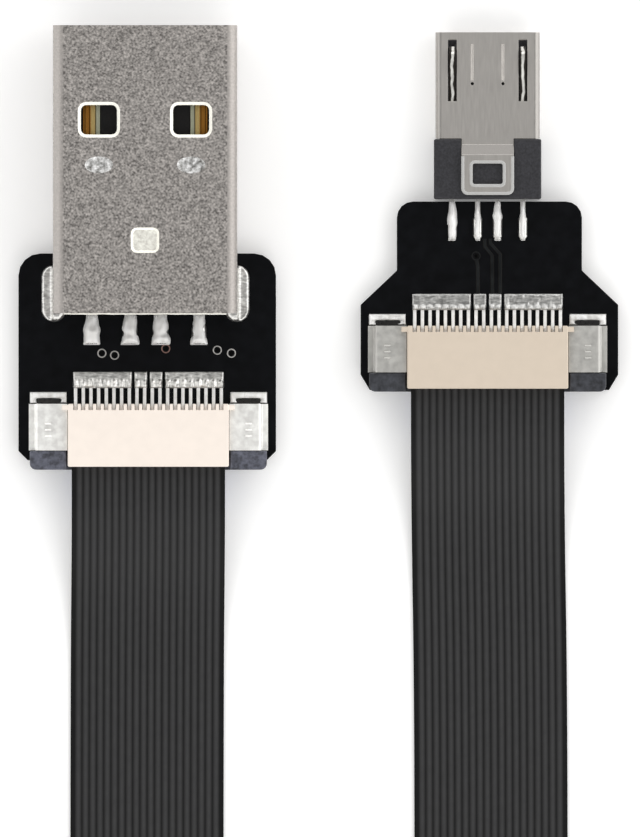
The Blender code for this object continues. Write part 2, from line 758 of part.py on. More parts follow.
def contacts_a():
    """The x and the start of each USB-A contact, from left to right."""
    return (
        (-contact_a_outer_x, contact_a_outer_start), (-contact_a_inner_x, contact_a_inner_start),
        (contact_a_inner_x, contact_a_inner_start), (contact_a_outer_x, contact_a_outer_start),
    )


def make_contact_a(plug, x, start, name):
    """A wide blade on the tongue and a narrow tail bent down and out on to the board."""
    level = contact_a_level()
    bend_y = (block_a_rear_recess - contact_a_thickness) / 2 - shell_a_length
    blade_end = block_a_rear_recess - shell_a_length + fit_gap
    foot = contact_a_thickness / 2
    tail_end = -shell_a_length - tail_a_length
    bm = bmesh.new()
    half = tail_a_width / 2
    path = [(blade_end + tail_a_overlap, level), (bend_y, level), (bend_y, foot), (tail_end, foot)]
    add_prism(bm, band(bent_path(path, contact_a_bend), contact_a_thickness), "YZ", x - half, x + half)
    contact = make_object(name, bm, "gold_contact", plug)
    blade = bmesh.new()
    half = contact_a_width / 2
    half_height = contact_a_thickness / 2
    add_box(blade, (x - half, x + half), (blade_end, -start), (level - half_height, level + half_height))
    join(contact, blade, "blade")
    solder = bmesh.new()
    center = (x, tail_end + tail_a_solder_length / 2)
    outline = stadium(tail_a_solder_width, tail_a_solder_length, center)
    add_mound(solder, outline, center, 0.0, solder_steps(tail_a_solder_height))
    join(contact, solder, "solder")


def shell_b_corners():
    """Six corners of the Micro-B shell's section, with the wide face up."""
    base = shell_b_base_width / 2
    half = shell_b_width / 2
    bottom = -shell_b_drop
    top = bottom + shell_b_height
    side = top - shell_b_side_height
    corners = [(-base, bottom), (base, bottom), (half, side), (half, top), (-half, top), (-half, side)]
    return [Vector(corner) for corner in corners]


def make_shell_b(plug):
    """Six-sided shell with two latch slots, stamped lines and a tab over the block behind it."""
    corners = shell_b_corners()
    outer = round_corners(corners, shell_b_corner_radius)
    inner = round_corners(inset(corners, shell_b_wall), shell_b_corner_radius - shell_b_wall)
    top = shell_b_height - shell_b_drop
    rear = -shell_b_length
    bm = bmesh.new()
    add_tube(bm, outer, inner, "XZ", rear, 0.0)
    shell = make_object("micro_b_shell", bm, "nickel_shell", plug)

    tab_level = top + block_b_height_margin + fit_gap + shell_b_wall / 2
    half = tab_width / 2
    root = bmesh.new()
    middle = top - shell_b_wall / 2
    step = [
        Vector((rear + tab_root, middle)), Vector((rear - tab_rise_start, middle)),
        Vector((rear - tab_rise_end, tab_level)), Vector((rear - tab_rise_end - tab_root, tab_level)),
    ]
    add_prism(root, band(step, shell_b_wall), "YZ", -half, half)
    plate = bmesh.new()
    plate_length = tab_length - tab_rise_end
    plate_center = (0.0, rear - tab_rise_end - plate_length / 2)
    outline = round_corners(
        rectangle(tab_width, plate_length, plate_center), [tab_corner_radius, tab_corner_radius, 0.0, 0.0])
    add_prism(plate, outline, "XY", tab_level - shell_b_wall / 2, tab_level + shell_b_wall / 2)

    openings = bmesh.new()
    window = rectangle(tab_window_width, tab_window_length, (0.0, rear - tab_window_from_shell))
    add_prism(
        openings, round_corners(window, tab_window_radius), "XY", top + block_b_height_margin,
        tab_level + shell_b_wall / 2 + cut_overrun)
    slot_length = latch_slot_end - latch_slot_start
    slot_middle = -(latch_slot_start + latch_slot_end) / 2
    groove_length = groove_end - groove_start
    groove_middle = -(groove_start + groove_end) / 2
    for side in (-1, 1):
        slot = rectangle(latch_slot_width, slot_length, (side * latch_slot_offset_x, slot_middle))
        add_prism(openings, slot, "XY", top - shell_b_wall - cut_overrun, top + cut_overrun)
        groove = rectangle(groove_width, groove_length, (side * groove_offset_x, groove_middle))
        add_prism(openings, groove, "XY", top - groove_depth, top + cut_overrun)
        center = (side * groove_offset_x, -groove_hole_from_tip)
        hole = ellipse(groove_hole_diameter, groove_hole_diameter, center, hole_sides)
        add_prism(openings, hole, "XY", top - shell_b_wall - cut_overrun, top + cut_overrun)
    half_seam = shell_b_seam / 2
    add_box(
        openings, (-half_seam, half_seam), (rear - cut_overrun, cut_overrun),
        (-shell_b_drop - cut_overrun, shell_b_wall - shell_b_drop + cut_overrun / 2))
    join(shell, root, "tab_step")
    join(shell, plate, "tab_plate")
    cut(shell, openings, "openings")


def contact_b_paths():
    """Plan of each Micro-B contact from its front to its end, by number."""
    pitch = contact_b_pitch
    tail_end = -plug_b_overhang - tail_b_length
    return (
        [(-2 * pitch, -contact_b_start), (-2 * pitch, -contact_b_fan_start),
         (-tail_b_outer_x, -contact_b_fan_end), (-tail_b_outer_x, tail_end)],
        [(-pitch, -contact_b_start), (-pitch, tail_end)],
        [(0.0, -contact_b_start), (0.0, -contact_b_step_start),
         (pitch, -contact_b_step_end), (pitch, tail_end)],
        [(pitch, -contact_b_start), (pitch, -contact_b_short_end)],
        [(2 * pitch, -contact_b_start), (2 * pitch, -contact_b_fan_start),
         (tail_b_outer_x, -contact_b_fan_end), (tail_b_outer_x, tail_end)],
    )


def latch_path():
    """Side view of a latch spring: a root in the insulator, a rising arm and a hook bent down."""
    top = shell_b_height - shell_b_drop
    under_wall = top - shell_b_wall - fit_gap - latch_thickness / 2
    hook_top = top + latch_rise - latch_thickness / 2
    hook_length = (latch_slot_end - latch_front) / 3
    return [
        Vector((-latch_root, under_wall)), Vector((-latch_slot_end, under_wall)),
        Vector((-latch_front - hook_length, hook_top - latch_rise / 3)),
        Vector((-latch_front - hook_length / 3, hook_top)), Vector((-latch_front, top - latch_front_drop)),
    ]


def make_insulator_b(plug):
    """Insulator: a floor under the contacts, a core in the shell and a block behind it."""
    corners = shell_b_corners()
    depth = shell_b_wall + fit_gap
    top = shell_b_height - shell_b_drop
    rear = -shell_b_length
    block_top = top + block_b_height_margin
    block_bottom = -shell_b_drop - block_b_height_margin
    block_rear = rear - fit_gap - block_b_length
    bm = bmesh.new()
    half = shell_b_width / 2 + block_b_side_margin
    add_box(bm, (-half, half), (block_rear, rear - fit_gap), (block_bottom, block_top))
    soften(bm, block_b_softening)
    insulator = make_object("micro_b_insulator", bm, "grey_insulator", plug)
    core = bmesh.new()
    section = round_corners(inset(corners, depth), shell_b_corner_radius - shell_b_wall)
    add_prism(core, section, "XZ", rear - fit_gap - block_b_length / 2, -floor_b_recess)
    join(insulator, core, "core")

    floor = fit_gap + contact_b_thickness - contact_b_proud
    mouth = bmesh.new()
    add_box(mouth, (-half, half), (-core_b_from_tip, cut_overrun), (floor, top + cut_overrun))
    tab_half = tab_width / 2 + fit_gap
    recess_rear = rear - tab_rise_end - shell_b_wall
    add_box(
        mouth, (-tab_half, tab_half), (recess_rear, rear + tab_root),
        (top - shell_b_wall - fit_gap, block_top + cut_overrun))
    cut(insulator, mouth, "mouth")

    channels = bmesh.new()
    for number, points in enumerate(contact_b_paths(), start=1):
        path = bent_path(points, contact_b_bend)
        path[0] = path[0] + Vector((0.0, fit_gap))
        path[-1] = path[-1] - Vector((0.0, fit_gap))
        outline = band(path, contact_b_width + 2 * fit_gap)
        add_prism(channels, outline, "XY", 0.0, contact_b_thickness + 2 * fit_gap)
    half_width = latch_width / 2 + fit_gap
    path = latch_path()
    path[0] = path[0] - Vector((fit_gap, 0.0))
    for side in (-1, 1):
        x = side * latch_slot_offset_x
        outline = band(path, latch_thickness + 2 * fit_gap)
        add_prism(channels, outline, "YZ", x - half_width, x + half_width)
    cut(insulator, channels, "channels")


def make_contact_b(plug, number, points):
    bm = bmesh.new()
    outline = band(bent_path(points, contact_b_bend), contact_b_width)
    add_prism(bm, outline, "XY", fit_gap, fit_gap + contact_b_thickness)
    contact = make_object(f"micro_b_contact_{number}", bm, "gold_contact", plug)
    tail_x, tail_end = points[-1]
    if tail_end > -plug_b_overhang:
        return
    solder = bmesh.new()
    center = (tail_x, tail_end + tail_b_solder_length / 2)
    outline = stadium(tail_b_solder_width, tail_b_solder_length, center)
    add_mound(solder, outline, center, fit_gap, solder_steps(tail_b_solder_height))
    join(contact, solder, "solder")


def make_latch(plug, side, label):
    bm = bmesh.new()
    x = side * latch_slot_offset_x
    outline = band(bent_path(latch_path(), latch_bend), latch_thickness)
    add_prism(bm, outline, "YZ", x - latch_width / 2, x + latch_width / 2)
    make_object(f"micro_b_latch_{label}", bm, "spring_steel", plug)


def make_housing(name, connector):
    """Housing: a slot for the ribbon, a groove for every pin and a toothed rear edge."""
    half = housing_width / 2
    bm = bmesh.new()
    add_box(bm, (-half, half), (-housing_depth, 0.0), (fit_gap, housing_top))
    soften(bm, housing_softening)
    housing = make_object(f"{name}_housing", bm, "cream_housing", connector)

    shoulders = bmesh.new()
    for side in (-1, 1):
        root = half - housing_softening - shoulder_width
        reach = sorted((side * root, side * (half + shoulder_width)))
        add_box(
            shoulders, reach, (-housing_softening - shoulder_length, -housing_softening),
            (nail_height + fit_gap, housing_top - housing_softening))
    join(housing, shoulders, "shoulders")

    slot = bmesh.new()
    slot_end = slot_depth - housing_depth
    slot_half = slot_width / 2
    add_box(slot, (-slot_half, slot_half), (-housing_depth - cut_overrun, slot_end), (floor_top, slot_roof))
    cut(housing, slot, "ribbon_slot")

    notch = bmesh.new()
    add_box(
        notch, (-half - cut_overrun, half + cut_overrun),
        (-housing_depth - cut_overrun, front_notch_depth - housing_depth),
        (-cut_overrun, tongue_top + fit_gap))
    cut(housing, notch, "front_notch")

    grooves = bmesh.new()
    profile = [
        (cut_overrun, -cut_overrun), (cut_overrun, housing_top + cut_overrun),
        (-pin_notch_depth, housing_top + cut_overrun), (-pin_notch_depth, groove_top),
        (-beam_groove_end, groove_top), (-beam_groove_end, slot_roof - fit_gap),
        (slot_end - fit_gap, slot_roof - fit_gap), (-pin_notch_depth, slot_roof - fit_gap),
        (-pin_notch_depth, -cut_overrun),
    ]
    half_width = pin_width / 2 + fit_gap
    for _, x in pin_positions():
        add_prism(grooves, [Vector(point) for point in profile], "YZ", x - half_width, x + half_width)
    cut(housing, grooves, "pin_grooves")


def make_pin_group(name, connector, label, positions):
    """One group of pins: each rises in its notch and reaches over the ribbon. Solder on the long
    pad joins their feet."""
    bm = bmesh.new()
    first = positions[0] - pin_width / 2 - pad_margin
    last = positions[-1] + pin_width / 2 + pad_margin
    add_box(bm, (first, last), (pin_foot, pads_reach), (fit_gap, fit_gap + pad_thickness))
    group = make_object(f"{name}_contacts_{label}", bm, "tinned_contact", connector)
    pins = bmesh.new()
    foot = fit_gap + pin_thickness / 2
    beam = groove_top - fit_gap - pin_thickness / 2
    nub = slot_roof + pin_thickness / 2
    path = [
        Vector((pin_foot + pin_on_pad, foot)), Vector((-pin_riser_from_rear, foot)),
        Vector((-pin_riser_from_rear, beam)), Vector((-pin_beam_end, beam)), Vector((-pin_nub_end, nub)),
    ]
    outline = band(path, pin_thickness)
    for x in positions:
        add_prism(pins, outline, "YZ", x - pin_width / 2, x + pin_width / 2)
    join(group, pins, "pins")


def make_slider(name, connector):
    """Lock slider: a bar under the ribbon with a tongue in the slot, and two ears with arms."""
    front = -housing_depth - slider_lip
    bar_rear = front_notch_depth - housing_depth - fit_gap
    ear_inner = housing_width / 2 + ear_side_gap
    ear_outer = ear_inner + ear_width
    bm = bmesh.new()
    bar_half = ear_inner + ear_width / 2
    add_box(bm, (-bar_half, bar_half), (front, bar_rear), (fit_gap, tongue_top))
    slider = make_object(f"{name}_slider", bm, "dark_slider", connector)

    ears = bmesh.new()
    ear_rear = -nail_length - fit_gap
    for side in (-1, 1):
        corners = [
            Vector((side * ear_inner, front)), Vector((side * ear_outer, front)),
            Vector((side * ear_outer, ear_rear)), Vector((side * ear_inner, ear_rear)),
        ]
        outline = round_corners(corners, [0.0, ear_corner_radius, 0.0, 0.0])
        add_prism(ears, outline, "XY", fit_gap, ear_height)
    bmesh.ops.recalc_face_normals(ears, faces=ears.faces)
    soften(ears, ear_softening)
    join(slider, ears, "ears")

    inside = bmesh.new()
    tongue_half = slot_width / 2 - fit_gap
    tongue_end = slot_depth - housing_depth - slider_tongue_clearance
    add_box(
        inside, (-tongue_half, tongue_half), (bar_rear - front_notch_depth / 2, tongue_end),
        (tongue_bottom, tongue_top - fit_gap / 2))
    for side in (-1, 1):
        reach = sorted((side * (ear_inner + arm_inner_step), side * (ear_outer - arm_outer_step)))
        along = (ear_rear - nail_thickness, ear_rear + arm_length)
        add_box(inside, reach, along, (arm_lift, arm_lift + arm_height))
    join(slider, inside, "tongue_and_arms")


def make_nail(name, connector, side, label):
    """Fitting nail: a folded plate beside the housing, with a side foot and a rear foot."""
    inner = housing_width / 2 + fit_gap
    plate_outer = inner + nail_plate_width
    outer = inner + nail_width
    half_thickness = nail_thickness / 2
    plate = nail_height - half_thickness
    foot = fit_gap + half_thickness
    wall = plate_outer - half_thickness
    fold = bent_path([(inner, plate), (wall, plate), (wall, foot), (outer, foot)], nail_bend)
    outline = [Vector((side * point.x, point.y)) for point in band(fold, nail_thickness)]
    bm = bmesh.new()
    add_prism(bm, outline, "XZ", -nail_length, 0.0)
    nail = make_object(f"{name}_nail_{label}", bm, "tinned_contact", connector)
    flange = bmesh.new()
    down = -nail_flange_setback - half_thickness
    fold = bent_path([(down, plate), (down, foot), (nail_flange_reach, foot)], nail_bend)
    reach = sorted((side * (inner + nail_flange_margin), side * wall))
    add_prism(flange, band(fold, nail_thickness), "YZ", reach[0], reach[1])
    join(nail, flange, "rear_foot")


def make_stiffener(name, connector):
    bm = bmesh.new()
    half = ribbon_width / 2
    reach = (-housing_depth - stiffener_reach, ribbon_insert - housing_depth)
    add_box(bm, (-half, half), reach, (stiffener_bottom, stiffener_bottom + stiffener_thickness))
    make_object(f"{name}_stiffener", bm, "blue_stiffener", connector)


def make_connector(name, end, x, setback):
    """The whole ribbon connector, on an empty at the middle of its rear edge."""
    connector = make_empty(name, (x, -setback, 0.0), end)
    make_housing(name, connector)
    positions = pin_positions()
    for label, _ in pin_groups:
        make_pin_group(name, connector, label, [x for owner, x in positions if owner == label])
    make_slider(name, connector)
    make_nail(name, connector, -1, "left")
    make_nail(name, connector, 1, "right")
    make_stiffener(name, connector)


def smooth_curve(points, count):
    """Evenly numbered stations on a Catmull-Rom curve through a list of vectors."""
    padded = [2 * points[0] - points[1]] + points + [2 * points[-1] - points[-2]]
    stations = []
    for i in range(count):
        place = i / (count - 1) * (len(points) - 1)
        span = min(int(place), len(points) - 2)
        t = place - span
        p0, p1, p2, p3 = padded[span:span + 4]
        stations.append(
            p1 + (p2 - p0) * (t / 2) + (2 * p0 - 5 * p1 + 4 * p2 - p3) * (t * t / 2)
            + (3 * p1 - p0 - 3 * p2 + p3) * (t * t * t / 2))
    return stations


def lying_height(roll):
    """Height of the ribbon's middle when its lower edge is on the ground."""
    return fit_gap + ribbon_width / 2 * math.sin(roll) + ribbon_thickness / 2 * math.cos(roll)


def ribbon_route():
    """The route's own points: straight out of each connector, then the loop between them."""
    ends = []
    straight = max(stiffener_reach, slider_lip + slider_travel) + 2 * fit_gap
    for x, y in ((connector_x_a, connector_y_a), (connector_x_b, connector_y_b)):
        front = y - housing_depth
        clear = front - straight
        ends.append([(x, front + ribbon_insert, 1.0, 0.0), (x, front, 1.0, 0.0), (x, clear, 1.0, 0.0)])
    route = ends[0] + list(ribbon_loop) + ends[1][::-1]
    leaving = board_thickness + ribbon_level - lying_height(0.0)
    points = []
    for x, y, rise_share, roll in route:
        points.append(Vector((x, y, leaving * rise_share, math.radians(roll))))
    return points


def make_ribbon():
    """The ribbon as one band of rectangular section along its route."""
    stations = smooth_curve(ribbon_route(), ribbon_stations)
    middles = []
    rolls = []
    for x, y, rise, roll in stations:
        held_roll = min(max(roll, 0.0), math.pi / 2)
        middles.append(Vector((x, y, max(rise, 0.0) + lying_height(held_roll))))
        rolls.append(held_roll)
    loops = []
    last = len(middles) - 1
    for i, (middle, roll) in enumerate(zip(middles, rolls)):
        forward = (middles[min(i + 1, last)] - middles[max(i - 1, 0)]).normalized()
        left = Vector((-forward.y, forward.x, 0.0)).normalized()
        up = forward.cross(left)
        across = (left * math.cos(roll) - up * math.sin(roll)) * (ribbon_width / 2)
        out = (up * math.cos(roll) + left * math.sin(roll)) * (ribbon_thickness / 2)
        under = [middle - across - out, middle + across - out]
        over = [middle + across + out, middle - across + out]
        loops.append(under + over)
    bm = bmesh.new()
    add_loft(bm, loops)
    ribbon = make_object("flex_ribbon", bm, "black_ribbon", None)
    smooth(ribbon)


def make_end_a():
    end = make_empty("end_a", (-ends_spacing / 2, front_y_a, board_thickness))
    plug = make_empty("plug_a", (plug_shift_x_a, shell_a_length - shell_a_seat, fit_gap), end)
    make_board_a(end)
    make_shell_a(plug)
    make_leg_solder(plug, -1, "left")
    make_leg_solder(plug, 1, "right")
    make_insulator_a(plug)
    for number, (x, start) in enumerate(contacts_a(), start=1):
        make_contact_a(plug, x, start, f"usb_a_contact_{number}")
    make_connector("connector_a", end, connector_shift_x_a, connector_setback_a)


def make_end_b():
    end = make_empty("end_b", (ends_spacing / 2, front_y_b, board_thickness))
    plug = make_empty("plug_b", (plug_shift_x_b, plug_b_overhang, 0.0), end)
    make_board_b(end)
    make_shell_b(plug)
    make_insulator_b(plug)
    for number, points in enumerate(contact_b_paths(), start=1):
        make_contact_b(plug, number, points)
    make_latch(plug, -1, "left")
    make_latch(plug, 1, "right")
    make_connector("connector_b", end, connector_shift_x_b, connector_setback_b)


clear_scene()
make_end_a()
make_end_b()
make_ribbon()
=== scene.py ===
"""Flat flex USB cable: the finishes, the ridged ribbon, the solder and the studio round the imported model.

The file is laid out as an add-on. Its panel in the 3D view's sidebar lists the settings and the
operators, and main() runs the operators in order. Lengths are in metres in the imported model's frame:
+Y points from the boards to the plugs' tips, +X from the USB-A end to the Micro-B end, and +Z is up.
"""

import math

import bmesh
import bpy
from bpy.props import FloatProperty, FloatVectorProperty, IntProperty, PointerProperty
from mathutils import Matrix, Vector, noise


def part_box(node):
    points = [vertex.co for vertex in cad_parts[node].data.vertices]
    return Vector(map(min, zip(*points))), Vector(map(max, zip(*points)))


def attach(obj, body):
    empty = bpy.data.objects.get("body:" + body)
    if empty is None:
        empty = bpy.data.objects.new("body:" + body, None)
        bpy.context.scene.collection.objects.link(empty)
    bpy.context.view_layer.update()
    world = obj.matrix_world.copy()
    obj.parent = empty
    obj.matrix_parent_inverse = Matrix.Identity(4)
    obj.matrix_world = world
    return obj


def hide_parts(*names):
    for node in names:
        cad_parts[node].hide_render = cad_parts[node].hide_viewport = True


bl_info = {
    "name": "Flat flex USB cable",
    "version": (1, 0, 0),
    "blender": (4, 5, 0),
    "location": "View3D > Sidebar > Flex cable",
    "description": "Gives the packed model of a flat flex USB cable its finishes and its studio",
    "category": "Object",
}

mm = 0.001
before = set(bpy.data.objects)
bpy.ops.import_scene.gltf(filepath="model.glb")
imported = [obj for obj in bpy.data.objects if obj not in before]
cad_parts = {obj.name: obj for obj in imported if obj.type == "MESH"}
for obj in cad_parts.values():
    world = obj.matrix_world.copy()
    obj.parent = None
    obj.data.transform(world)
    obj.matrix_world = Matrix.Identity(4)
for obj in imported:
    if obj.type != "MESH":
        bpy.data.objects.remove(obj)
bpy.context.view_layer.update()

ends = ("a", "b")
sides = ("left", "right")
pin_groups = ("power", "data_minus", "data_plus", "ground")
board_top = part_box("usb_a_board")[1].z

weld_distance = 0.002 * mm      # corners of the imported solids' triangles are one point within this
flat_turn = 0.6                 # degrees: triangles that turn less than this are one flat face
sharp_turn = 28                 # degrees: over this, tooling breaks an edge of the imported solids
crisp_turn = 34                 # degrees: over this, an edge is shaded crisp
molten_turn = 80                # degrees: the same on solder, which is crisp only round its underside
sunk = 0.01 * mm                # how far a thin piece sinks into what carries it


def linear(hex_code):
    """An sRGB hex colour as linear red, green and blue."""
    channels = [int(hex_code[i:i + 2], 16) / 255 for i in (0, 2, 4)]
    return tuple(c / 12.92 if c <= 0.04045 else ((c + 0.055) / 1.055) ** 2.4 for c in channels)


# Settings


def length_setting(name, description, default):
    """A length that shows in the scene's unit."""
    return FloatProperty(
        name=name, description=description, default=default, unit="LENGTH", subtype="DISTANCE", precision=6)


def colour_setting(name, description, hex_code):
    """A colour given as an sRGB hex value."""
    return FloatVectorProperty(
        name=name, description=description, default=linear(hex_code), subtype="COLOR", size=3,
        min=0.0, max=1.0)


class StageSettings(bpy.types.PropertyGroup):
    """Studio round the cable."""

    view_x: length_setting("View centre X", "Middle of the picture, across the cable", 0.11 * mm)
    view_y: length_setting("View centre Y", "Middle of the picture, along the cable", -11.13 * mm)
    view_height: length_setting("View height", "What the picture's long side covers at the boards", 54.6 * mm)
    camera_distance: length_setting("Camera distance", "Height of the camera over the boards", 2000 * mm)
    floor_colour: colour_setting("Floor", "Colour of the paper under the cable", "f4f4f4")
    floor_glow: FloatProperty(
        name="Floor glow", description="Brightness of the light through the paper", default=0.19)
    overhead_level: FloatProperty(
        name="Overhead", description="Brightness round the camera, which flat metal mirrors", default=0.34)
    side_level: FloatProperty(
        name="Sides", description="Brightness of the light tent's sides", default=1.33)
    side_lean: FloatProperty(
        name="Lean", description="How much brighter the tent's right side is than its middle", default=0.22)
    panel_power: FloatProperty(
        name="Panels", description="Power of each soft panel", default=0.3, unit="POWER", subtype="POWER")


class RibbonSettings(bpy.types.PropertyGroup):
    """Flat ribbon."""

    length: length_setting("Length", "Length with both inserted ends", 200 * mm)
    width: length_setting("Width", "Width over the margins", 10 * mm)
    thickness: length_setting("Thickness", "Thickness over a conductor", 0.2 * mm)
    pitch: length_setting("Pitch", "Distance from one conductor to the next", 0.473 * mm)
    groove_depth: length_setting("Groove depth", "How far the film sinks between two conductors", 0.06 * mm)
    conductors: IntProperty(name="Conductors", description="Number of conductors", default=20, min=2)
    # Painted light on the film: the first colour is its painted sheen on the ridges, the second its painted
    # shade on the margins and in the grooves
    film_colour: colour_setting("Film", "Colour of the laminated film", "373738")
    shaded_film_colour: colour_setting("Margin", "Colour of the film's bare margins and grooves", "040405")
    tape_colour: colour_setting("Tape", "Colour of the stiffening tape", "2456a4")


class PlugSettings(bpy.types.PropertyGroup):
    """Shells, insulators and contacts of the two plugs."""

    nickel_colour: colour_setting("Nickel", "Colour of the USB-A shell's plating", "b7b2ae")
    # Painted highlight: near white, on the USB-A shell's window rims, lance, dimples and rear-edge strip
    # where their edges shine
    highlight_colour: colour_setting("Burnished", "Colour of that plating where a die pressed it", "fbf8ef")
    grain: length_setting("Grain", "Size of the pits in the tumbled shell", 0.13 * mm)
    steel_colour: colour_setting("Steel", "Colour of the Micro-B shell", "dad6d1")
    # Painted shade: the bends and the tab's step are coloured darker than the flat steel, where the shell
    # turns from the light
    bend_shade_colour: colour_setting("Steel bends", "Colour of that shell where it was bent", "b1aeaa")
    step_shade_colour: colour_setting("Steel step", "Colour of that shell where its tab steps down", "93908d")
    rim_colour: colour_setting("Steel rim", "Colour of that shell where it was sheared", "c9c9c8")
    gold_colour: colour_setting("Gold", "Colour of the mating contacts", "ffdf95")
    # Painted reflection on the USB-A contacts' gold: brown painted shade, a pale painted highlight and dark
    # painted lines
    shaded_gold_colour: colour_setting("Heavy gold", "Colour of the flash where it is thick", "cc8e40")
    pale_reflection_colour: colour_setting("Thin gold", "Colour of the flash where nickel shows through", "e6e8cc")
    dark_reflection_colour: colour_setting("Worn gold", "Colour where the flash has worn off", "241708")
    # The latch springs: the first colour is their bright middle band, the second the dark strips beside it
    spring_band_colour: colour_setting("Rubbed spring", "Colour of the latch springs' rubbed middle", "f6f4ef")
    spring_side_colour: colour_setting("Blued spring", "Colour of the latch springs beside that", "35322f")
    tongue_colour: colour_setting("Tongue", "Colour of the USB-A insulator", "1b1719")
    block_colour: colour_setting("Block", "Colour of the Micro-B insulator", "2c2c30")


class BoardSettings(bpy.types.PropertyGroup):
    """Circuit boards."""

    mask_colour: colour_setting("Solder mask", "Colour of the boards' varnish", "06070a")
    trace_colour: colour_setting("Traces", "Colour of the varnish where copper lies under it", "1a1c1d")
    core_colour: colour_setting("Core", "Colour of the boards' routed edges", "241f1a")
    copper_colour: colour_setting("Copper", "Colour of bare copper", "957870")
    via_colour: colour_setting("Via tin", "Colour of the tinned rings round the vias", "bdbbb8")
    via_width: length_setting("Via width", "Outer width of a plated ring round a via", 0.6 * mm)
    via_rim: length_setting("Via rim", "Width of the ring itself", 0.08 * mm)
    trace_width: length_setting("Trace width", "Width of a copper trace under the varnish", 0.26 * mm)
    trace_height: length_setting("Trace height", "How far a trace lifts the varnish", 0.05 * mm)


class ConnectorSettings(bpy.types.PropertyGroup):
    """Ribbon connectors."""

    housing_colour_a: colour_setting("Housing, USB-A end", "Colour of that end's housing", "f4e9df")
    housing_colour_b: colour_setting("Housing, Micro-B end", "Colour of that end's housing", "d2c4b3")
    slider_colour_a: colour_setting("Slider, USB-A end", "Colour of that end's lock slider", "4f515c")
    slider_colour_b: colour_setting("Slider, Micro-B end", "Colour of that end's lock slider", "303238")
    nail_colour_a: colour_setting("Nails, USB-A end", "Colour of that end's nails", "f8f7f4")
    nail_colour_b: colour_setting("Nails, Micro-B end", "Colour of that end's nails", "c6c5c1")
    pin_colour: colour_setting("Pins", "Colour of the pins' bright tin", "fbfbfa")
    # Painted shade: near black, it shows on the nails' feet in the solder bead's crease
    crease_shade_colour: colour_setting("Flux", "Colour of the flux left in the nails' creases", "1c1b1a")
    dash_length: length_setting("Dash length", "Length of the raised dashes on a nail", 0.42 * mm)


class SolderSettings(bpy.types.PropertyGroup):
    """Solder on the boards."""

    colour: colour_setting("Solder", "Colour of the solder on the USB-A board's pads", "dfdedb")
    grey_colour: colour_setting("Grey solder", "Colour of the solder on the Micro-B board's pads", "c6c6c4")
    drawn_colour: colour_setting("Drawn solder", "Colour of the solder on the tails", "fbfaf8")
    ripple: length_setting("Ripple", "Size of the ripples in the frozen skin", 0.34 * mm)
    edge: length_setting("Edge", "How far in from its edge a solder joint is rounded", 0.1 * mm)


# Meshes


def spread(low, high, count):
    """Evenly spaced values from low to high."""
    return [low + (high - low) * i / (count - 1) for i in range(count)]


def swell(x, y, size, layer):
    """Smooth unevenness from -1 to 1 with ripples of a real size; each layer differs."""
    return noise.noise(Vector((x / size, y / size, layer)))


def rounded(inset, width):
    """Height share of a rounded edge at a distance in from the edge."""
    share = min(max(inset / width, 0.0), 1.0)
    return math.sqrt(1 - (1 - share) ** 2)


def place_in_scene(name, data):
    """An object with this data, in the scene."""
    placed = bpy.data.objects.new(name, data)
    bpy.context.scene.collection.objects.link(placed)
    return placed


def new_piece(name, bm, materials, body="root", crease=crisp_turn):
    """Turn a bmesh into a piece that rides on a body: edges over crease degrees are crisp, and flat
    faces stay flat."""
    mesh = bpy.data.meshes.new(name)
    bmesh.ops.recalc_face_normals(bm, faces=bm.faces)
    bm.to_mesh(mesh)
    bm.free()
    for material in materials:
        mesh.materials.append(material)
    mesh.shade_smooth()
    mesh.set_sharp_from_angle(angle=math.radians(crease))
    piece = place_in_scene(name, mesh)
    piece.modifiers.new("even_shading", "WEIGHTED_NORMAL").keep_sharp = True
    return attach(piece, body)


def finish_node(node, material, edge, body="root", others=(), choose=None):
    """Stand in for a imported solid: the same form, its sharp edges broken as tooling leaves them.

    choose(middle, normal, area) gives the number of a face's material: 0 for the main one, 1 for the
    first of the others, and so on."""
    bm = bmesh.new()
    bm.from_mesh(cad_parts[node].data)
    bmesh.ops.remove_doubles(bm, verts=bm.verts, dist=weld_distance)
    bmesh.ops.dissolve_limit(bm, angle_limit=math.radians(flat_turn), verts=bm.verts, edges=bm.edges)
    sharp = [e for e in bm.edges if e.is_manifold and e.calc_face_angle() > math.radians(sharp_turn)]
    bmesh.ops.bevel(
        bm, geom=sharp, offset=edge, segments=2, profile=0.6, affect="EDGES", clamp_overlap=True)
    if choose:
        for face in bm.faces:
            face.material_index = choose(face.calc_center_median(), face.normal, face.calc_area())
    piece = new_piece(f"{node}_finished", bm, [material, *others], body)
    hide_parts(node)
    return piece


def sweep(bm, points, section, rolls=None, closed=False):
    """Carry an outline of (across, height) pairs along points, rolled about the line at each."""
    last = len(points) - 1
    rings = []
    for i, point in enumerate(points):
        before = points[i - 1] if closed else points[max(i - 1, 0)]
        after = points[(i + 1) % len(points)] if closed else points[min(i + 1, last)]
        forward = (after - before).normalized()
        left = Vector((-forward.y, forward.x, 0.0)).normalized()
        up = forward.cross(left)
        roll = rolls[i] if rolls else 0.0
        across = left * math.cos(roll) - up * math.sin(roll)
        out = up * math.cos(roll) + left * math.sin(roll)
        rings.append([bm.verts.new(point + across * a + out * h) for a, h in section])
    followers = rings[1:] + rings[:1] if closed else rings[1:]
    for ring, follower in zip(rings, followers):
        for j, vert in enumerate(ring):
            k = (j + 1) % len(ring)
            bm.faces.new((vert, ring[k], follower[k], follower[j]))
    if not closed:
        bm.faces.new(rings[0])
        bm.faces.new(rings[-1])


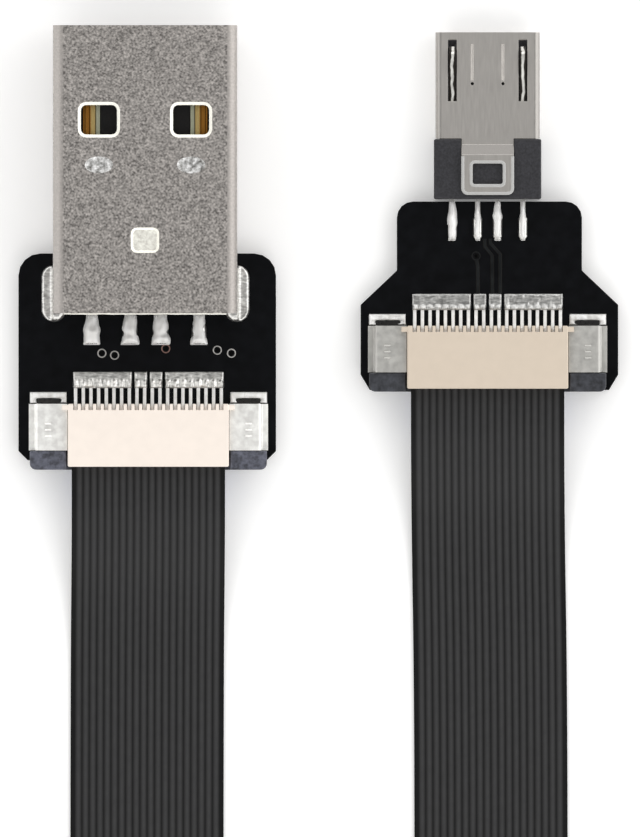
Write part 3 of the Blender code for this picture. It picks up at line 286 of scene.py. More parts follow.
def rounded_loop(middle, half_x, half_y, radius, steps=5):
    """Points round a rectangle with round corners, from the corner at +X and +Y to the left."""
    points = []
    for quarter, (side_x, side_y) in enumerate(((1, 1), (-1, 1), (-1, -1), (1, -1))):
        corner = middle + Vector((side_x * (half_x - radius), side_y * (half_y - radius), 0.0))
        for step in range(steps + 1):
            turn = math.radians(90 * (quarter + step / steps))
            points.append(corner + radius * Vector((math.cos(turn), math.sin(turn), 0.0)))
    return points


def round_section(width, height, count=10):
    """Outline of a rounded bar."""
    turns = [math.tau * i / count for i in range(count)]
    return [(width / 2 * math.cos(turn), height / 2 * math.sin(turn)) for turn in turns]


def solder_skin(bm, rows, columns, height_at):
    """A closed skin of solder on a board.

    Each row is (y, lowest x, highest x). height_at(x, y, inset) is the height over the board at a
    point, where inset is how far it lies in from the skin's edge."""
    grid = []
    for y, x_low, x_high in rows:
        line = []
        for x in spread(x_low, x_high, columns + 1):
            inset = min(x - x_low, x_high - x, y - rows[0][0], rows[-1][0] - y)
            line.append(bm.verts.new((x, y, board_top - sunk + height_at(x, y, inset))))
        grid.append(line)
    for line, above in zip(grid, grid[1:]):
        for i in range(columns):
            bm.faces.new((line[i], line[i + 1], above[i + 1], above[i]))
    right = [line[-1] for line in grid[1:-1]]
    left = [line[0] for line in grid[1:-1]]
    bm.faces.new(grid[0] + right + grid[-1][::-1] + left[::-1])


# Materials


def connect(tree, node, inputs):
    """Give a node's inputs their values, or link them where the value is a socket."""
    for socket, value in inputs.items():
        if isinstance(value, bpy.types.NodeSocket):
            tree.links.new(value, node.inputs[socket])
        else:
            node.inputs[socket].default_value = value


def add_node(tree, kind, output, inputs, **settings):
    """Add a node with its settings, connect its inputs and return one of its outputs."""
    node = tree.nodes.new(kind)
    for name, value in settings.items():
        setattr(node, name, value)
    connect(tree, node, inputs)
    return node.outputs[output]


def shade(colour, factor):
    """A linear colour made darker or lighter, with alpha."""
    return (*(min(1.0, channel * factor) for channel in colour), 1.0)


def uneven_material(
        name, colour, contrast, roughness, grain, depth, metallic=0.0, ior=None, specular=None,
        stretch=1.0, detail=2.0):
    """A material whose colour, roughness and height follow one pattern.

    contrast is how far the colour strays to both sides, roughness its lowest and highest value, grain
    the pattern's real size, depth its real height, and stretch how much longer it is along Y."""
    material = bpy.data.materials.new(name)
    material.use_nodes = True
    tree = material.node_tree
    shader = tree.nodes["Principled BSDF"]
    shader.inputs["Metallic"].default_value = metallic
    if ior:
        shader.inputs["IOR"].default_value = ior
    if specular:
        shader.inputs["Specular IOR Level"].default_value = specular
    place = add_node(tree, "ShaderNodeTexCoord", "Object", {})
    drawn = add_node(
        tree, "ShaderNodeMapping", "Vector", {"Vector": place, "Scale": (1.0, 1 / stretch, 1.0)})
    pattern = add_node(
        tree, "ShaderNodeTexNoise", "Fac",
        {"Vector": drawn, "Scale": 1 / grain, "Detail": detail, "Roughness": 0.55})
    share = add_node(
        tree, "ShaderNodeMapRange", "Result", {"Value": pattern, "From Min": 0.3, "From Max": 0.7})
    light = add_node(
        tree, "ShaderNodeMix", 2,
        {0: share, 6: shade(colour, 1 - contrast), 7: shade(colour, 1 + contrast)}, data_type="RGBA")
    polish = add_node(
        tree, "ShaderNodeMapRange", "Result",
        {"Value": pattern, "From Min": 0.3, "From Max": 0.7, "To Min": roughness[0], "To Max": roughness[1]})
    bump = add_node(
        tree, "ShaderNodeBump", "Normal", {"Height": pattern, "Distance": depth, "Strength": 1.0})
    connect(tree, shader, {"Base Color": light, "Roughness": polish, "Normal": bump})
    return material, tree, shader, place, light


def plain_material(*values, **more):
    """An uneven material to which no other node is added."""
    return uneven_material(*values, **more)[0]


def tumbled_nickel(settings):
    """Nickel on tumbled steel: the pits that tumbling leaves give a matt, sandy sparkle."""
    return plain_material(
        "tumbled_nickel_plate", settings.nickel_colour, contrast=0.62, roughness=(0.4, 0.46),
        grain=settings.grain, depth=0.014 * mm, metallic=1.0, detail=2.5)


def painted_highlight_nickel(name, settings, contrast):
    """The same plating where a die has pressed it, coloured near white as a painted highlight and smeared;
    the more contrast, the darker its speckle."""
    return plain_material(
        name, settings.highlight_colour, contrast, roughness=(0.45, 0.66), grain=0.3 * mm,
        depth=0.03 * mm, metallic=1.0, detail=3.0)


def drawn_nickel(settings):
    """The same plating round a bend, where drawing has smoothed the pits: an even satin."""
    return plain_material(
        "drawn_nickel_plate", settings.nickel_colour, contrast=0.12, roughness=(0.5, 0.56),
        grain=settings.grain, depth=0.004 * mm, metallic=1.0)


def rolled_steel(settings):
    """Stainless strip as rolled: very fine lines along it under an even satin. Lines this fine are
    drawn 0.1 mm wide so that they show."""
    return plain_material(
        "rolled_stainless_strip", settings.steel_colour, contrast=0.03, roughness=(0.33, 0.38),
        grain=0.1 * mm, depth=0.001 * mm, metallic=1.0, stretch=14.0)


def worked_steel(name, colour, roughness):
    """The same strip where a tool has bent or pressed it: the stretched skin is duller."""
    return plain_material(
        name, colour, contrast=0.05, roughness=(roughness - 0.04, roughness + 0.04), grain=0.1 * mm,
        depth=0.003 * mm, metallic=1.0, stretch=4.0)


def outward_from(tree, place, axis_x):
    """Distance from a plug's middle line, to either side."""
    across = add_node(tree, "ShaderNodeSeparateXYZ", "X", {"Vector": place})
    offset = add_node(tree, "ShaderNodeMath", "Value", {0: across, 1: axis_x}, operation="SUBTRACT")
    return add_node(tree, "ShaderNodeMath", "Value", {0: offset}, operation="ABSOLUTE")


band_drift = 0.15 * mm          # how far the bright band on a latch spring strays to either side
band_wave = 0.9 * mm            # and over what length
band_bright = 0.06 * mm         # bright to this far from the band's middle
band_dark = 0.11 * mm           # and dark from here on


def banded_spring(settings, axis_x, offset):
    """Spring steel coloured bright along a wavering band near its middle and dark beside that."""
    material, tree, shader, place, banded = uneven_material(
        "rubbed_spring_steel", settings.spring_band_colour, 0.1, (0.36, 0.5), 0.3 * mm, 0.004 * mm,
        metallic=1.0, stretch=2.0)
    outward = outward_from(tree, place, axis_x)
    wave = add_node(tree, "ShaderNodeTexNoise", "Fac", {"Vector": place, "Scale": 1 / band_wave})
    inward = add_node(
        tree, "ShaderNodeMath", "Value", {0: wave, 1: 2 * band_drift, 2: -band_drift - offset},
        operation="MULTIPLY_ADD")
    from_band = add_node(tree, "ShaderNodeMath", "Value", {0: outward, 1: inward}, operation="ADD")
    away = add_node(tree, "ShaderNodeMath", "Value", {0: from_band}, operation="ABSOLUTE")
    dark = add_node(
        tree, "ShaderNodeMapRange", "Result",
        {"Value": away, "From Min": band_bright, "From Max": band_dark})
    colour = add_node(
        tree, "ShaderNodeMix", 2, {0: dark, 6: banded, 7: (*settings.spring_side_colour, 1.0)}, data_type="RGBA")
    connect(tree, shader, {"Base Color": colour})
    return material


tin_fade = 0.2 * mm             # length over which a contact's gold turns to the tin on its tail

# Painted reflection bands across a USB-A contact's gold, from its inner side to its outer one
painted_reflection_bands_width = 1.1 * mm
painted_reflection_bands = (
    (0.2, "pale_reflection_colour"),
    (0.25, "dark_reflection_colour"),
    (0.31, "gold_colour"),
    (0.5, "gold_colour"),
    (0.58, "shaded_gold_colour"),
    (0.61, "dark_reflection_colour"),
    (0.67, "shaded_gold_colour"),
    (0.84, "shaded_gold_colour"),
    (0.88, "dark_reflection_colour"),
    (0.92, "shaded_gold_colour"),
)


def plated_contact(name, settings, solder_colour, tail_y, axis_x=None, reach=None):
    """Phosphor bronze strip, gold flash over nickel where it mates and tin on its tail.

    Where a plug's axis and its contacts' reach from it are given, reflection is painted across the gold
    in bands: brown painted shade at the reach, dark painted lines, and a pale painted highlight inwards."""
    material, tree, shader, place, gold = uneven_material(
        name, settings.gold_colour, 0.2, (0.22, 0.36), 0.2 * mm, 0.001 * mm, metallic=1.0, stretch=16.0)
    if reach:
        share = add_node(
            tree, "ShaderNodeMapRange", "Result",
            {"Value": outward_from(tree, place, axis_x),
             "From Min": reach - painted_reflection_bands_width, "From Max": reach})
        gold = add_node(tree, "ShaderNodeValToRGB", "Color", {"Fac": share})
        bands = gold.node.color_ramp.elements
        bands.remove(bands[1])
        bands[0].color = (*settings.pale_reflection_colour, 1.0)
        for position, colour in painted_reflection_bands:
            bands.new(position).color = (*getattr(settings, colour), 1.0)
    along = add_node(tree, "ShaderNodeSeparateXYZ", "Y", {"Vector": place})
    tail = add_node(
        tree, "ShaderNodeMapRange", "Result",
        {"Value": along, "From Min": tail_y - tin_fade, "From Max": tail_y, "To Min": 1.0, "To Max": 0.0})
    tinned = add_node(
        tree, "ShaderNodeMix", 2, {0: tail, 6: gold, 7: (*solder_colour, 1.0)}, data_type="RGBA")
    connect(tree, shader, {"Base Color": tinned})
    return material


def moulded_plastic(name, colour, roughness, grain, contrast, specular=0.5):
    """Glass-filled plastic from a sparked mould: an even skin with faint flow clouds and pitting."""
    return plain_material(
        name, colour, contrast, (roughness - 0.05, roughness + 0.07), grain, depth=0.004 * mm, ior=1.55,
        specular=specular)


def solder_mask(name, colour, settings):
    """Black varnish over copper and glass fibre: a soft gloss with faint waves, a shade lighter where
    copper lies under it. The routed edges show the dull brown core."""
    material, tree, shader, _, light = uneven_material(
        name, colour, 0.3, (0.3, 0.4), 0.8 * mm, 0.006 * mm, ior=1.5, specular=0.13)
    normal = add_node(tree, "ShaderNodeNewGeometry", "True Normal", {})
    upright = add_node(tree, "ShaderNodeSeparateXYZ", "Z", {"Vector": normal})
    flat = add_node(tree, "ShaderNodeMath", "Value", {0: upright}, operation="ABSOLUTE")
    edged = add_node(
        tree, "ShaderNodeMix", 2, {0: flat, 6: (*settings.core_colour, 1.0), 7: light}, data_type="RGBA")
    connect(tree, shader, {"Base Color": edged})
    return material


def matt_tin(name, colour, roughness):
    """Matt tin on stamped brass: pale, with soft smears from the reflow oven."""
    return plain_material(
        name, colour, contrast=0.08, roughness=(roughness - 0.06, roughness + 0.06), grain=0.4 * mm,
        depth=0.008 * mm, metallic=1.0)


def painted_crease_shade(settings):
    """Painted shade for the crease where a nail's solder bead meets its bend: a dark glassy film on its foot.
    """
    return plain_material(
        "baked_rosin_flux", settings.crease_shade_colour, contrast=0.4, roughness=(0.25, 0.4), grain=0.2 * mm,
        depth=0.01 * mm, ior=1.53)


def reflowed_solder(name, colour, settings):
    """Tin and silver solder that froze in an oven with a wrinkled skin: bright, with dull grey creases
    that run along the pads. It comes in a brighter and a greyer colour."""
    return plain_material(
        name, colour, contrast=0.34, roughness=(0.28, 0.46), grain=settings.ripple, depth=0.02 * mm,
        metallic=1.0, stretch=0.4)


def drawn_solder(settings):
    """Solder that an iron drew along a tail: whiter and duller, its skin smooth."""
    return plain_material(
        "iron_drawn_solder", settings.drawn_colour, contrast=0.1, roughness=(0.7, 0.84),
        grain=settings.ripple, depth=0.006 * mm, metallic=1.0, stretch=3.0)


def bare_copper(settings):
    """Copper left bare in an untented via: dull red-brown."""
    return plain_material(
        "oxidised_copper", settings.copper_colour, contrast=0.2, roughness=(0.4, 0.5), grain=0.1 * mm,
        depth=0.003 * mm, metallic=1.0)


def laminated_film(settings):
    """Black polyester film rolled hot over flat copper: a painted sheen on every ridge, painted shade near
    black in the grooves and on the bare margins. The mesh says how much sheen each point takes."""
    material, tree, shader, _, light = uneven_material(
        "laminated_polyester_film", settings.film_colour, 0.06, (0.42, 0.5), 0.5 * mm, 0.003 * mm,
        ior=1.57, specular=0.22)
    raised = add_node(tree, "ShaderNodeAttribute", "Fac", {}, attribute_name="raised")
    film = add_node(
        tree, "ShaderNodeMix", 2, {0: raised, 6: (*settings.shaded_film_colour, 1.0), 7: light}, data_type="RGBA")
    connect(tree, shader, {"Base Color": film})
    return material


def studio_paper(settings):
    """Matt translucent paper, too even to show more than a trace of fibre, lit faintly from below so
    that shadows on it stay pale."""
    material, _, shader, *_ = uneven_material(
        "matt_studio_paper", settings.floor_colour, 0.01, (0.85, 0.95), 1.2 * mm, 0.002 * mm)
    shader.inputs["Emission Color"].default_value = (1.0, 1.0, 1.0, 1.0)
    shader.inputs["Emission Strength"].default_value = settings.floor_glow
    return material


# Ribbon's route, as the part's source has it: x, y, share of the leaving height, roll in degrees
ribbon_loop = (
    (-11.09 * mm, -19.2 * mm, 0.72, 0.0),
    (-11.12 * mm, -22.6 * mm, 0.26, 0.0),
    (-11.15 * mm, -26.5 * mm, 0.03, 0.0),
    (-11.17 * mm, -32.5 * mm, 0.0, 0.0),
    (-11.18 * mm, -38.5 * mm, 0.0, 0.0),
    (-11.18 * mm, -44.5 * mm, 0.0, 9.0),
    (-11.35 * mm, -50.5 * mm, 0.0, 30.0),
    (-11.95 * mm, -56.5 * mm, 0.0, 54.0),
    (-13.1 * mm, -62.5 * mm, 0.0, 75.0),
    (-14.75 * mm, -68.5 * mm, 0.0, 88.0),
    (-16.3 * mm, -74.4 * mm, 0.0, 90.0),
    (-16.9 * mm, -80.6 * mm, 0.0, 90.0),
    (-15.6 * mm, -87.0 * mm, 0.0, 90.0),
    (-11.95 * mm, -92.5 * mm, 0.0, 90.0),
    (-6.47 * mm, -96.1 * mm, 0.0, 90.0),
    (0.0 * mm, -97.4 * mm, 0.0, 90.0),
    (6.5 * mm, -96.1 * mm, 0.0, 90.0),
    (12.0 * mm, -92.5 * mm, 0.0, 90.0),
    (15.65 * mm, -87.0 * mm, 0.0, 90.0),
    (16.95 * mm, -80.6 * mm, 0.0, 90.0),
    (16.35 * mm, -74.4 * mm, 0.0, 90.0),
    (14.8 * mm, -68.5 * mm, 0.0, 88.0),
    (13.15 * mm, -62.5 * mm, 0.0, 75.0),
    (12.0 * mm, -56.5 * mm, 0.0, 54.0),
    (11.42 * mm, -50.5 * mm, 0.0, 30.0),
    (11.28 * mm, -44.5 * mm, 0.0, 9.0),
    (11.27 * mm, -38.5 * mm, 0.0, 0.0),
    (11.25 * mm, -32.0 * mm, 0.0, 0.0),
    (11.2 * mm, -26.0 * mm, 0.0, 0.0),
    (11.13 * mm, -21.4 * mm, 0.03, 0.0),
    (11.08 * mm, -17.5 * mm, 0.26, 0.0),
    (11.05 * mm, -14.1 * mm, 0.72, 0.0),
)
ribbon_insert = 3.15 * mm       # ribbon inside a housing
ribbon_straight = 2.46 * mm     # and straight out of it, past the stiffening tape
lying_gap = 0.03 * mm           # under the ribbon where it lies
ribbon_stations = 260
steps_per_ridge = 6
groove_sheen = 0.08             # share of painted sheen in a groove's film, from a margin's painted shade at 0 to a ridge's 1


def smooth_curve(points, count):
    """Evenly numbered stations on a Catmull-Rom curve through a list of vectors."""
    padded = [2 * points[0] - points[1]] + points + [2 * points[-1] - points[-2]]
    stations = []
    for i in range(count):
        place = i / (count - 1) * (len(points) - 1)
        span = min(int(place), len(points) - 2)
        t = place - span
        p0, p1, p2, p3 = padded[span:span + 4]
        stations.append(
            p1 + (p2 - p0) * (t / 2) + (2 * p0 - 5 * p1 + 4 * p2 - p3) * (t * t / 2)
            + (3 * p1 - p0 - 3 * p2 + p3) * (t * t * t / 2))
    return stations


def ribbon_route(settings):
    """The ribbon's middle line and its roll at each station."""
    def lying_height(roll):
        return lying_gap + settings.width / 2 * math.sin(roll) + settings.thickness / 2 * math.cos(roll)

    tape_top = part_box("connector_a_stiffener")[1].z
    leaving = tape_top + lying_gap + settings.thickness / 2 - lying_height(0.0)
    runs = []
    for end in ends:
        low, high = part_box(f"connector_{end}_housing")
        x = (low.x + high.x) / 2
        places = (low.y + ribbon_insert, low.y, low.y - ribbon_straight)
        runs.append([(x, y, 1.0, 0.0) for y in places])
    points = []
    for x, y, rise_share, roll in runs[0] + list(ribbon_loop) + runs[1][::-1]:
        points.append(Vector((x, y, leaving * rise_share, math.radians(roll))))
    middles = []
    rolls = []
    for x, y, rise, roll in smooth_curve(points, ribbon_stations):
        held_roll = min(max(roll, 0.0), math.pi / 2)
        middles.append(Vector((x, y, max(rise, 0.0) + lying_height(held_roll))))
        rolls.append(held_roll)
    return middles, rolls


def ribbon_section(settings):
    """The ribbon's outline and the painted sheen at each of its points, from 0 on a margin to 1 on a ridge.
    """
    ridges_width = settings.conductors * settings.pitch
    count = settings.conductors * steps_per_ridge
    face = [(-settings.width / 2, 0.0)]
    for i in range(count + 1):
        raised = 0.5 - 0.5 * math.cos(math.tau * i / steps_per_ridge)
        face.append(((i / count - 0.5) * ridges_width, raised))
    face.append((settings.width / 2, 0.0))
    full = settings.thickness / 2
    top = [(across, full - settings.groove_depth * (1 - raised)) for across, raised in face]
    section = top + [(across, -height) for across, height in reversed(top)]
    ridge_sheen = [groove_sheen + (1 - groove_sheen) * raised for _, raised in face[2:-2]]
    sheen_shares = [0.0, 0.0, *ridge_sheen, 0.0, 0.0]
    return section, sheen_shares + sheen_shares[::-1]


# Operators

sight = 10.0                    # metres: how far the camera sees
floor_reach = 1500 * mm         # half the paper's width
floor_drop = 0.02 * mm          # how far under the cable the paper lies
tent_opening = (0.62, 0.975)    # the tent darkens to its opening between these heights, as sines
tent_white = (1.0, 0.995, 0.985, 1.0)   # linear: daylight through cloth, a trace warm
panel_turns = (20, 110, 200, 290)       # degrees round the cable
panel_reach = 550 * mm          # how far the panels stand from the cable's middle
panel_height = 420 * mm         # and how high
panel_size = (500 * mm, 350 * mm)


class FLEXCABLE_OT_stage(bpy.types.Operator):
    """Make the camera, the paper floor and the soft light"""

    bl_idname = "flex_cable.make_stage"
    bl_label = "Make the stage"

    def execute(self, context):
        settings = context.scene.flex_stage
        scene = context.scene
        lens = bpy.data.cameras.new("camera")
        lens.lens = lens.sensor_width * settings.camera_distance / settings.view_height
        lens.clip_end = sight
        camera = place_in_scene("camera", lens)
        camera.location = (settings.view_x, settings.view_y, board_top + settings.camera_distance)
        scene.camera = camera

        bm = bmesh.new()
        bmesh.ops.create_grid(bm, x_segments=8, y_segments=8, size=floor_reach)
        mesh = bpy.data.meshes.new("paper_floor")
        bm.to_mesh(mesh)
        bm.free()
        mesh.materials.append(studio_paper(settings))
        floor = place_in_scene("paper_floor", mesh)
        floor.location.z = -floor_drop

        self.make_light_tent(scene, settings)
        for number, turn in enumerate(panel_turns):
            self.make_panel(settings, number, math.radians(turn))
        scene.view_settings.view_transform = "Standard"
        return {"FINISHED"}

    def make_light_tent(self, scene, settings):
        """A white tent all round, with the darker opening that the camera looks through overhead."""
        world = bpy.data.worlds.new("light_tent")
        world.use_nodes = True
        tree = world.node_tree
        direction = add_node(tree, "ShaderNodeTexCoord", "Generated", {})
        height = add_node(tree, "ShaderNodeSeparateXYZ", "Z", {"Vector": direction})
        even = add_node(
            tree, "ShaderNodeMapRange", "Result",
            {"Value": height, "From Min": tent_opening[0], "From Max": tent_opening[1],
             "To Min": settings.side_level, "To Max": settings.overhead_level},
            interpolation_type="SMOOTHSTEP")
        rightward = add_node(tree, "ShaderNodeSeparateXYZ", "X", {"Vector": direction})
        lean = add_node(
            tree, "ShaderNodeMath", "Value", {0: rightward, 1: settings.side_lean, 2: 1.0},
            operation="MULTIPLY_ADD")
        level = add_node(tree, "ShaderNodeMath", "Value", {0: even, 1: lean}, operation="MULTIPLY")
        connect(tree, tree.nodes["Background"], {"Color": tent_white, "Strength": level})
        scene.world = world

    def make_panel(self, settings, number, turn):
        """One soft panel beside the cable, facing it."""
        light = bpy.data.lights.new(f"panel_{number}", "AREA")
        light.shape = "RECTANGLE"
        light.size, light.size_y = panel_size
        light.energy = settings.panel_power
        panel = place_in_scene(f"panel_{number}", light)
        panel.location = (panel_reach * math.cos(turn), panel_reach * math.sin(turn), panel_height)
        panel.rotation_euler = (-panel.location).to_track_quat("-Z", "Y").to_euler()


class FLEXCABLE_OT_ribbon(bpy.types.Operator):
    """Make the ribbon with a ridge over every conductor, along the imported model's route"""

    bl_idname = "flex_cable.make_ribbon"
    bl_label = "Make the ribbon"

    def execute(self, context):
        settings = context.scene.flex_ribbon
        middles, rolls = ribbon_route(settings)
        section, sheen_shares = ribbon_section(settings)
        bm = bmesh.new()
        sweep(bm, middles, section, rolls)
        ribbon = new_piece("ridged_ribbon", bm, [laminated_film(settings)])
        # Painted light: each point's share of painted sheen against the painted shade of margins and grooves
        raised = ribbon.data.attributes.new("raised", "FLOAT", "POINT")
        raised.data.foreach_set("value", sheen_shares * len(middles))
        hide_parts("flex_ribbon")

        # Clear polyester tape dyed blue: smooth, with a faint haze
        tape = moulded_plastic(
            "dyed_polyester_tape", settings.tape_colour, roughness=0.3, grain=0.3 * mm, contrast=0.05)
        tapes = [
            finish_node(f"connector_{end}_stiffener", tape, edge=0.01 * mm)
            for end in ends]
        return {"FINISHED"}


# Vias and traces, in millimetres: where their middles are on the boards
tinned_vias = ((-14.12, -6.87), (-13.29, -7.0), (-6.59, -6.67), (-5.67, -6.87))
copper_via = (-9.95, -6.57)
varnished_via = (10.29, -0.53)
micro_b_traces = (
    ((10.32, -0.8), (10.4, -1.2), (10.42, -3.2)),
    ((10.86, 0.6), (10.86, 0.1), (11.34, -0.5), (11.36, -3.2)),
    ((11.2, 0.6), (11.22, 0.3), (11.86, -0.42), (11.86, -3.2)),
)
ring_steps = 28
plug_radius = 0.2 * mm          # of the varnish that closes a via, at its lower end
plug_top_radius = 0.18 * mm     # and at its upper one
plug_height = 0.2 * mm
plug_depth = 0.2 * mm           # how far under the board's top it ends


class FLEXCABLE_OT_boards(bpy.types.Operator):
    """Varnish the two circuit boards and add their vias and traces"""

    bl_idname = "flex_cable.make_boards"
    bl_label = "Make the boards"

    def execute(self, context):
        settings = context.scene.flex_board
        mask = solder_mask("black_solder_mask", settings.mask_colour, settings)
        over_copper = solder_mask("solder_mask_over_copper", settings.trace_colour, settings)
        for node in ("usb_a_board", "micro_b_board"):
            finish_node(node, mask, edge=0.03 * mm)
        tin = matt_tin("tinned_copper", settings.via_colour, roughness=0.56)
        self.make_rings("tinned_vias", tinned_vias, settings, tin)
        self.make_rings("copper_via", [copper_via], settings, bare_copper(settings))
        self.make_rings("varnished_via", [varnished_via], settings, over_copper)

        # Varnish that has run into each via and closes it
        plug_z = board_top - plug_depth - plug_height / 2
        bm = bmesh.new()
        for x, y in (*tinned_vias, copper_via, varnished_via):
            bmesh.ops.create_cone(
                bm, cap_ends=True, segments=24, radius1=plug_radius, radius2=plug_top_radius,
                depth=plug_height, matrix=Matrix.Translation((x * mm, y * mm, plug_z)))
        new_piece("via_plugs", bm, [mask])

        half = settings.trace_width / 2
        flat = half - settings.trace_height
        height = settings.trace_height
        section = [(half, -sunk), (flat, height), (-flat, height), (-half, -sunk)]
        bm = bmesh.new()
        for trace in micro_b_traces:
            sweep(bm, [Vector((x * mm, y * mm, board_top)) for x, y in trace], section)
        new_piece("micro_b_traces", bm, [over_copper])
        return {"FINISHED"}

    def make_rings(self, name, places, settings, material):
        """Raised rings round holes in the boards."""
        radius = (settings.via_width - settings.via_rim) / 2
        section = round_section(settings.via_rim, settings.via_rim / 2)
        turns = [math.tau * i / ring_steps for i in range(ring_steps)]
        bm = bmesh.new()
        for x, y in places:
            middle = Vector((x * mm, y * mm, board_top))
            points = [middle + radius * Vector((math.cos(turn), math.sin(turn), 0.0)) for turn in turns]
            sweep(bm, points, section, closed=True)
        new_piece(name, bm, [material])


# Windows, dimples and lance in the USB-A shell's top, coloured as painted highlights: the number of their
# material, how far they are from its tip and its middle line, and half their sizes
pressed_places = (
    (1, (6.16 * mm, 3.0 * mm, 1.4 * mm, 1.2 * mm)),
    (2, (9.1 * mm, 3.0 * mm, 1.0 * mm, 0.62 * mm)),
    (1, (14.0 * mm, 0.0, 0.98 * mm, 0.88 * mm)),
)
shell_sheet = 0.3 * mm          # its thickness
shell_skin = 0.004 * mm         # what is pressed lies at least this far under the top
shell_bend = 0.8 * mm           # how far its bends reach from the flat walls
bend_lean = (0.1, 0.98)         # share of X in the normals of a bend's faces
bend_area = 0.2 * mm * mm       # a bend's faces are larger than this, those of a broken edge smaller
usb_a_tin = 1.2 * mm            # how far into the shell the contacts' tin begins

# Strip of painted highlight along the shell's rear edge, and how far it strays and over what length
rear_highlight_inset = 0.7 * mm           # from the shell's sides
rear_highlight_reach = 0.02 * mm          # past the edge
rear_highlight_width = 0.14 * mm
rear_highlight_height = 0.12 * mm
rear_highlight_drift = 0.025 * mm
rear_highlight_wave = 0.8 * mm


class FLEXCABLE_OT_usb_a_plug(bpy.types.Operator):
    """Finish the USB-A shell, its insulator and its contacts"""

    bl_idname = "flex_cable.make_usb_a_plug"
    bl_label = "Make the USB-A plug"

    def execute(self, context):
        settings = context.scene.flex_plug
        low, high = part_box("usb_a_shell")
        axis = (low.x + high.x) / 2

        def surface(middle, normal, area):
            if high.z - shell_sheet < middle.z < high.z - shell_skin:
                for number, (from_tip, from_axis, half_x, half_y) in pressed_places:
                    away_x = abs(abs(middle.x - axis) - from_axis)
                    away_y = abs(high.y - from_tip - middle.y)
                    if away_x < half_x and away_y < half_y:
                        return number
            from_flat = min(high.z - middle.z, middle.z - low.z)
            on_bend = bend_lean[0] < abs(normal.x) < bend_lean[1] and from_flat < shell_bend
            return 3 if on_bend and area > bend_area else 0

        # Painted highlight: the window rims and the lance are coloured near white, and the dimples the same
        # with dark speckle, where their curved edges shine
        bright = painted_highlight_nickel("burnished_nickel_plate", settings, contrast=0.08)
        speckled_highlight = painted_highlight_nickel("struck_nickel_plate", settings, contrast=0.85)
        finish_node(
            "usb_a_shell", tumbled_nickel(settings), edge=0.04 * mm,
            others=(bright, speckled_highlight, drawn_nickel(settings)), choose=surface)

        # A thin strip along the shell's rear edge, in the near-white painted highlight colour, stands for the
        # highlight on its sheared edge
        bm = bmesh.new()
        rear_highlight = []
        for x in spread(low.x + rear_highlight_inset, high.x - rear_highlight_inset, 60):
            y = low.y - rear_highlight_reach + rear_highlight_drift * swell(x, 0.0, rear_highlight_wave, 3.0)
            rear_highlight.append(Vector((x, y, high.z - rear_highlight_height / 2)))
        sweep(bm, rear_highlight, round_section(rear_highlight_width, rear_highlight_height))
        new_piece("usb_a_shell_burr", bm, [bright])

        # Glass-filled PBT, moulded black
        black = moulded_plastic(
            "moulded_pbt_black", settings.tongue_colour, roughness=0.45, grain=0.2 * mm, contrast=0.08)
        finish_node("usb_a_insulator", black, edge=0.03 * mm)
        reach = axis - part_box("usb_a_contact_1")[0].x
        solder_colour = context.scene.flex_solder.colour
        tail_y = low.y + usb_a_tin
        plating = plated_contact("gold_flash_usb_a", settings, solder_colour, tail_y, axis, reach)
        for number in range(1, 5):
            finish_node(f"usb_a_contact_{number}", plating, edge=0.02 * mm)
        return {"FINISHED"}


# Beads pressed into the Micro-B shell, given as the places above; and their faces' least rise, which
# is the share of Z in their normals, and largest size
micro_b_bead = (2.0 * mm, 0.98 * mm, 0.22 * mm, 1.4 * mm)
bead_rise = 0.1
bead_area = mm * mm
strip_rise = (0.08, 0.995)      # the same share in this shell's bends and in its step
step_lean = 0.08                # share of Y in the normals of the step
strip_area = 0.15 * mm * mm     # smallest face of either

# Outlines of its tab and of the window in it: how far their middle is from the shell's rear, half
# their sizes, and their corners' radius
tab_outline = (1.29 * mm, 1.62 * mm, 1.21 * mm, 0.32 * mm)
tab_window = (1.36 * mm, 1.08 * mm, 0.77 * mm, 0.24 * mm)
tab_rim_length = 2.1 * mm       # along the tab's sides
tab_rim_width = 0.2 * mm
tab_rim_height = 0.06 * mm

# Micro-B tails: how far each is from the plug's middle line, and its solder's share of the full width
micro_b_tails = ((-2.3 * mm, 0.95), (-0.65 * mm, 0.68), (0.65 * mm, 0.9), (2.3 * mm, 0.62))
micro_b_tin = 0.5 * mm          # how far into the block the contacts' tin begins
micro_b_latch = 2.3 * mm        # from the middle line to a latch spring


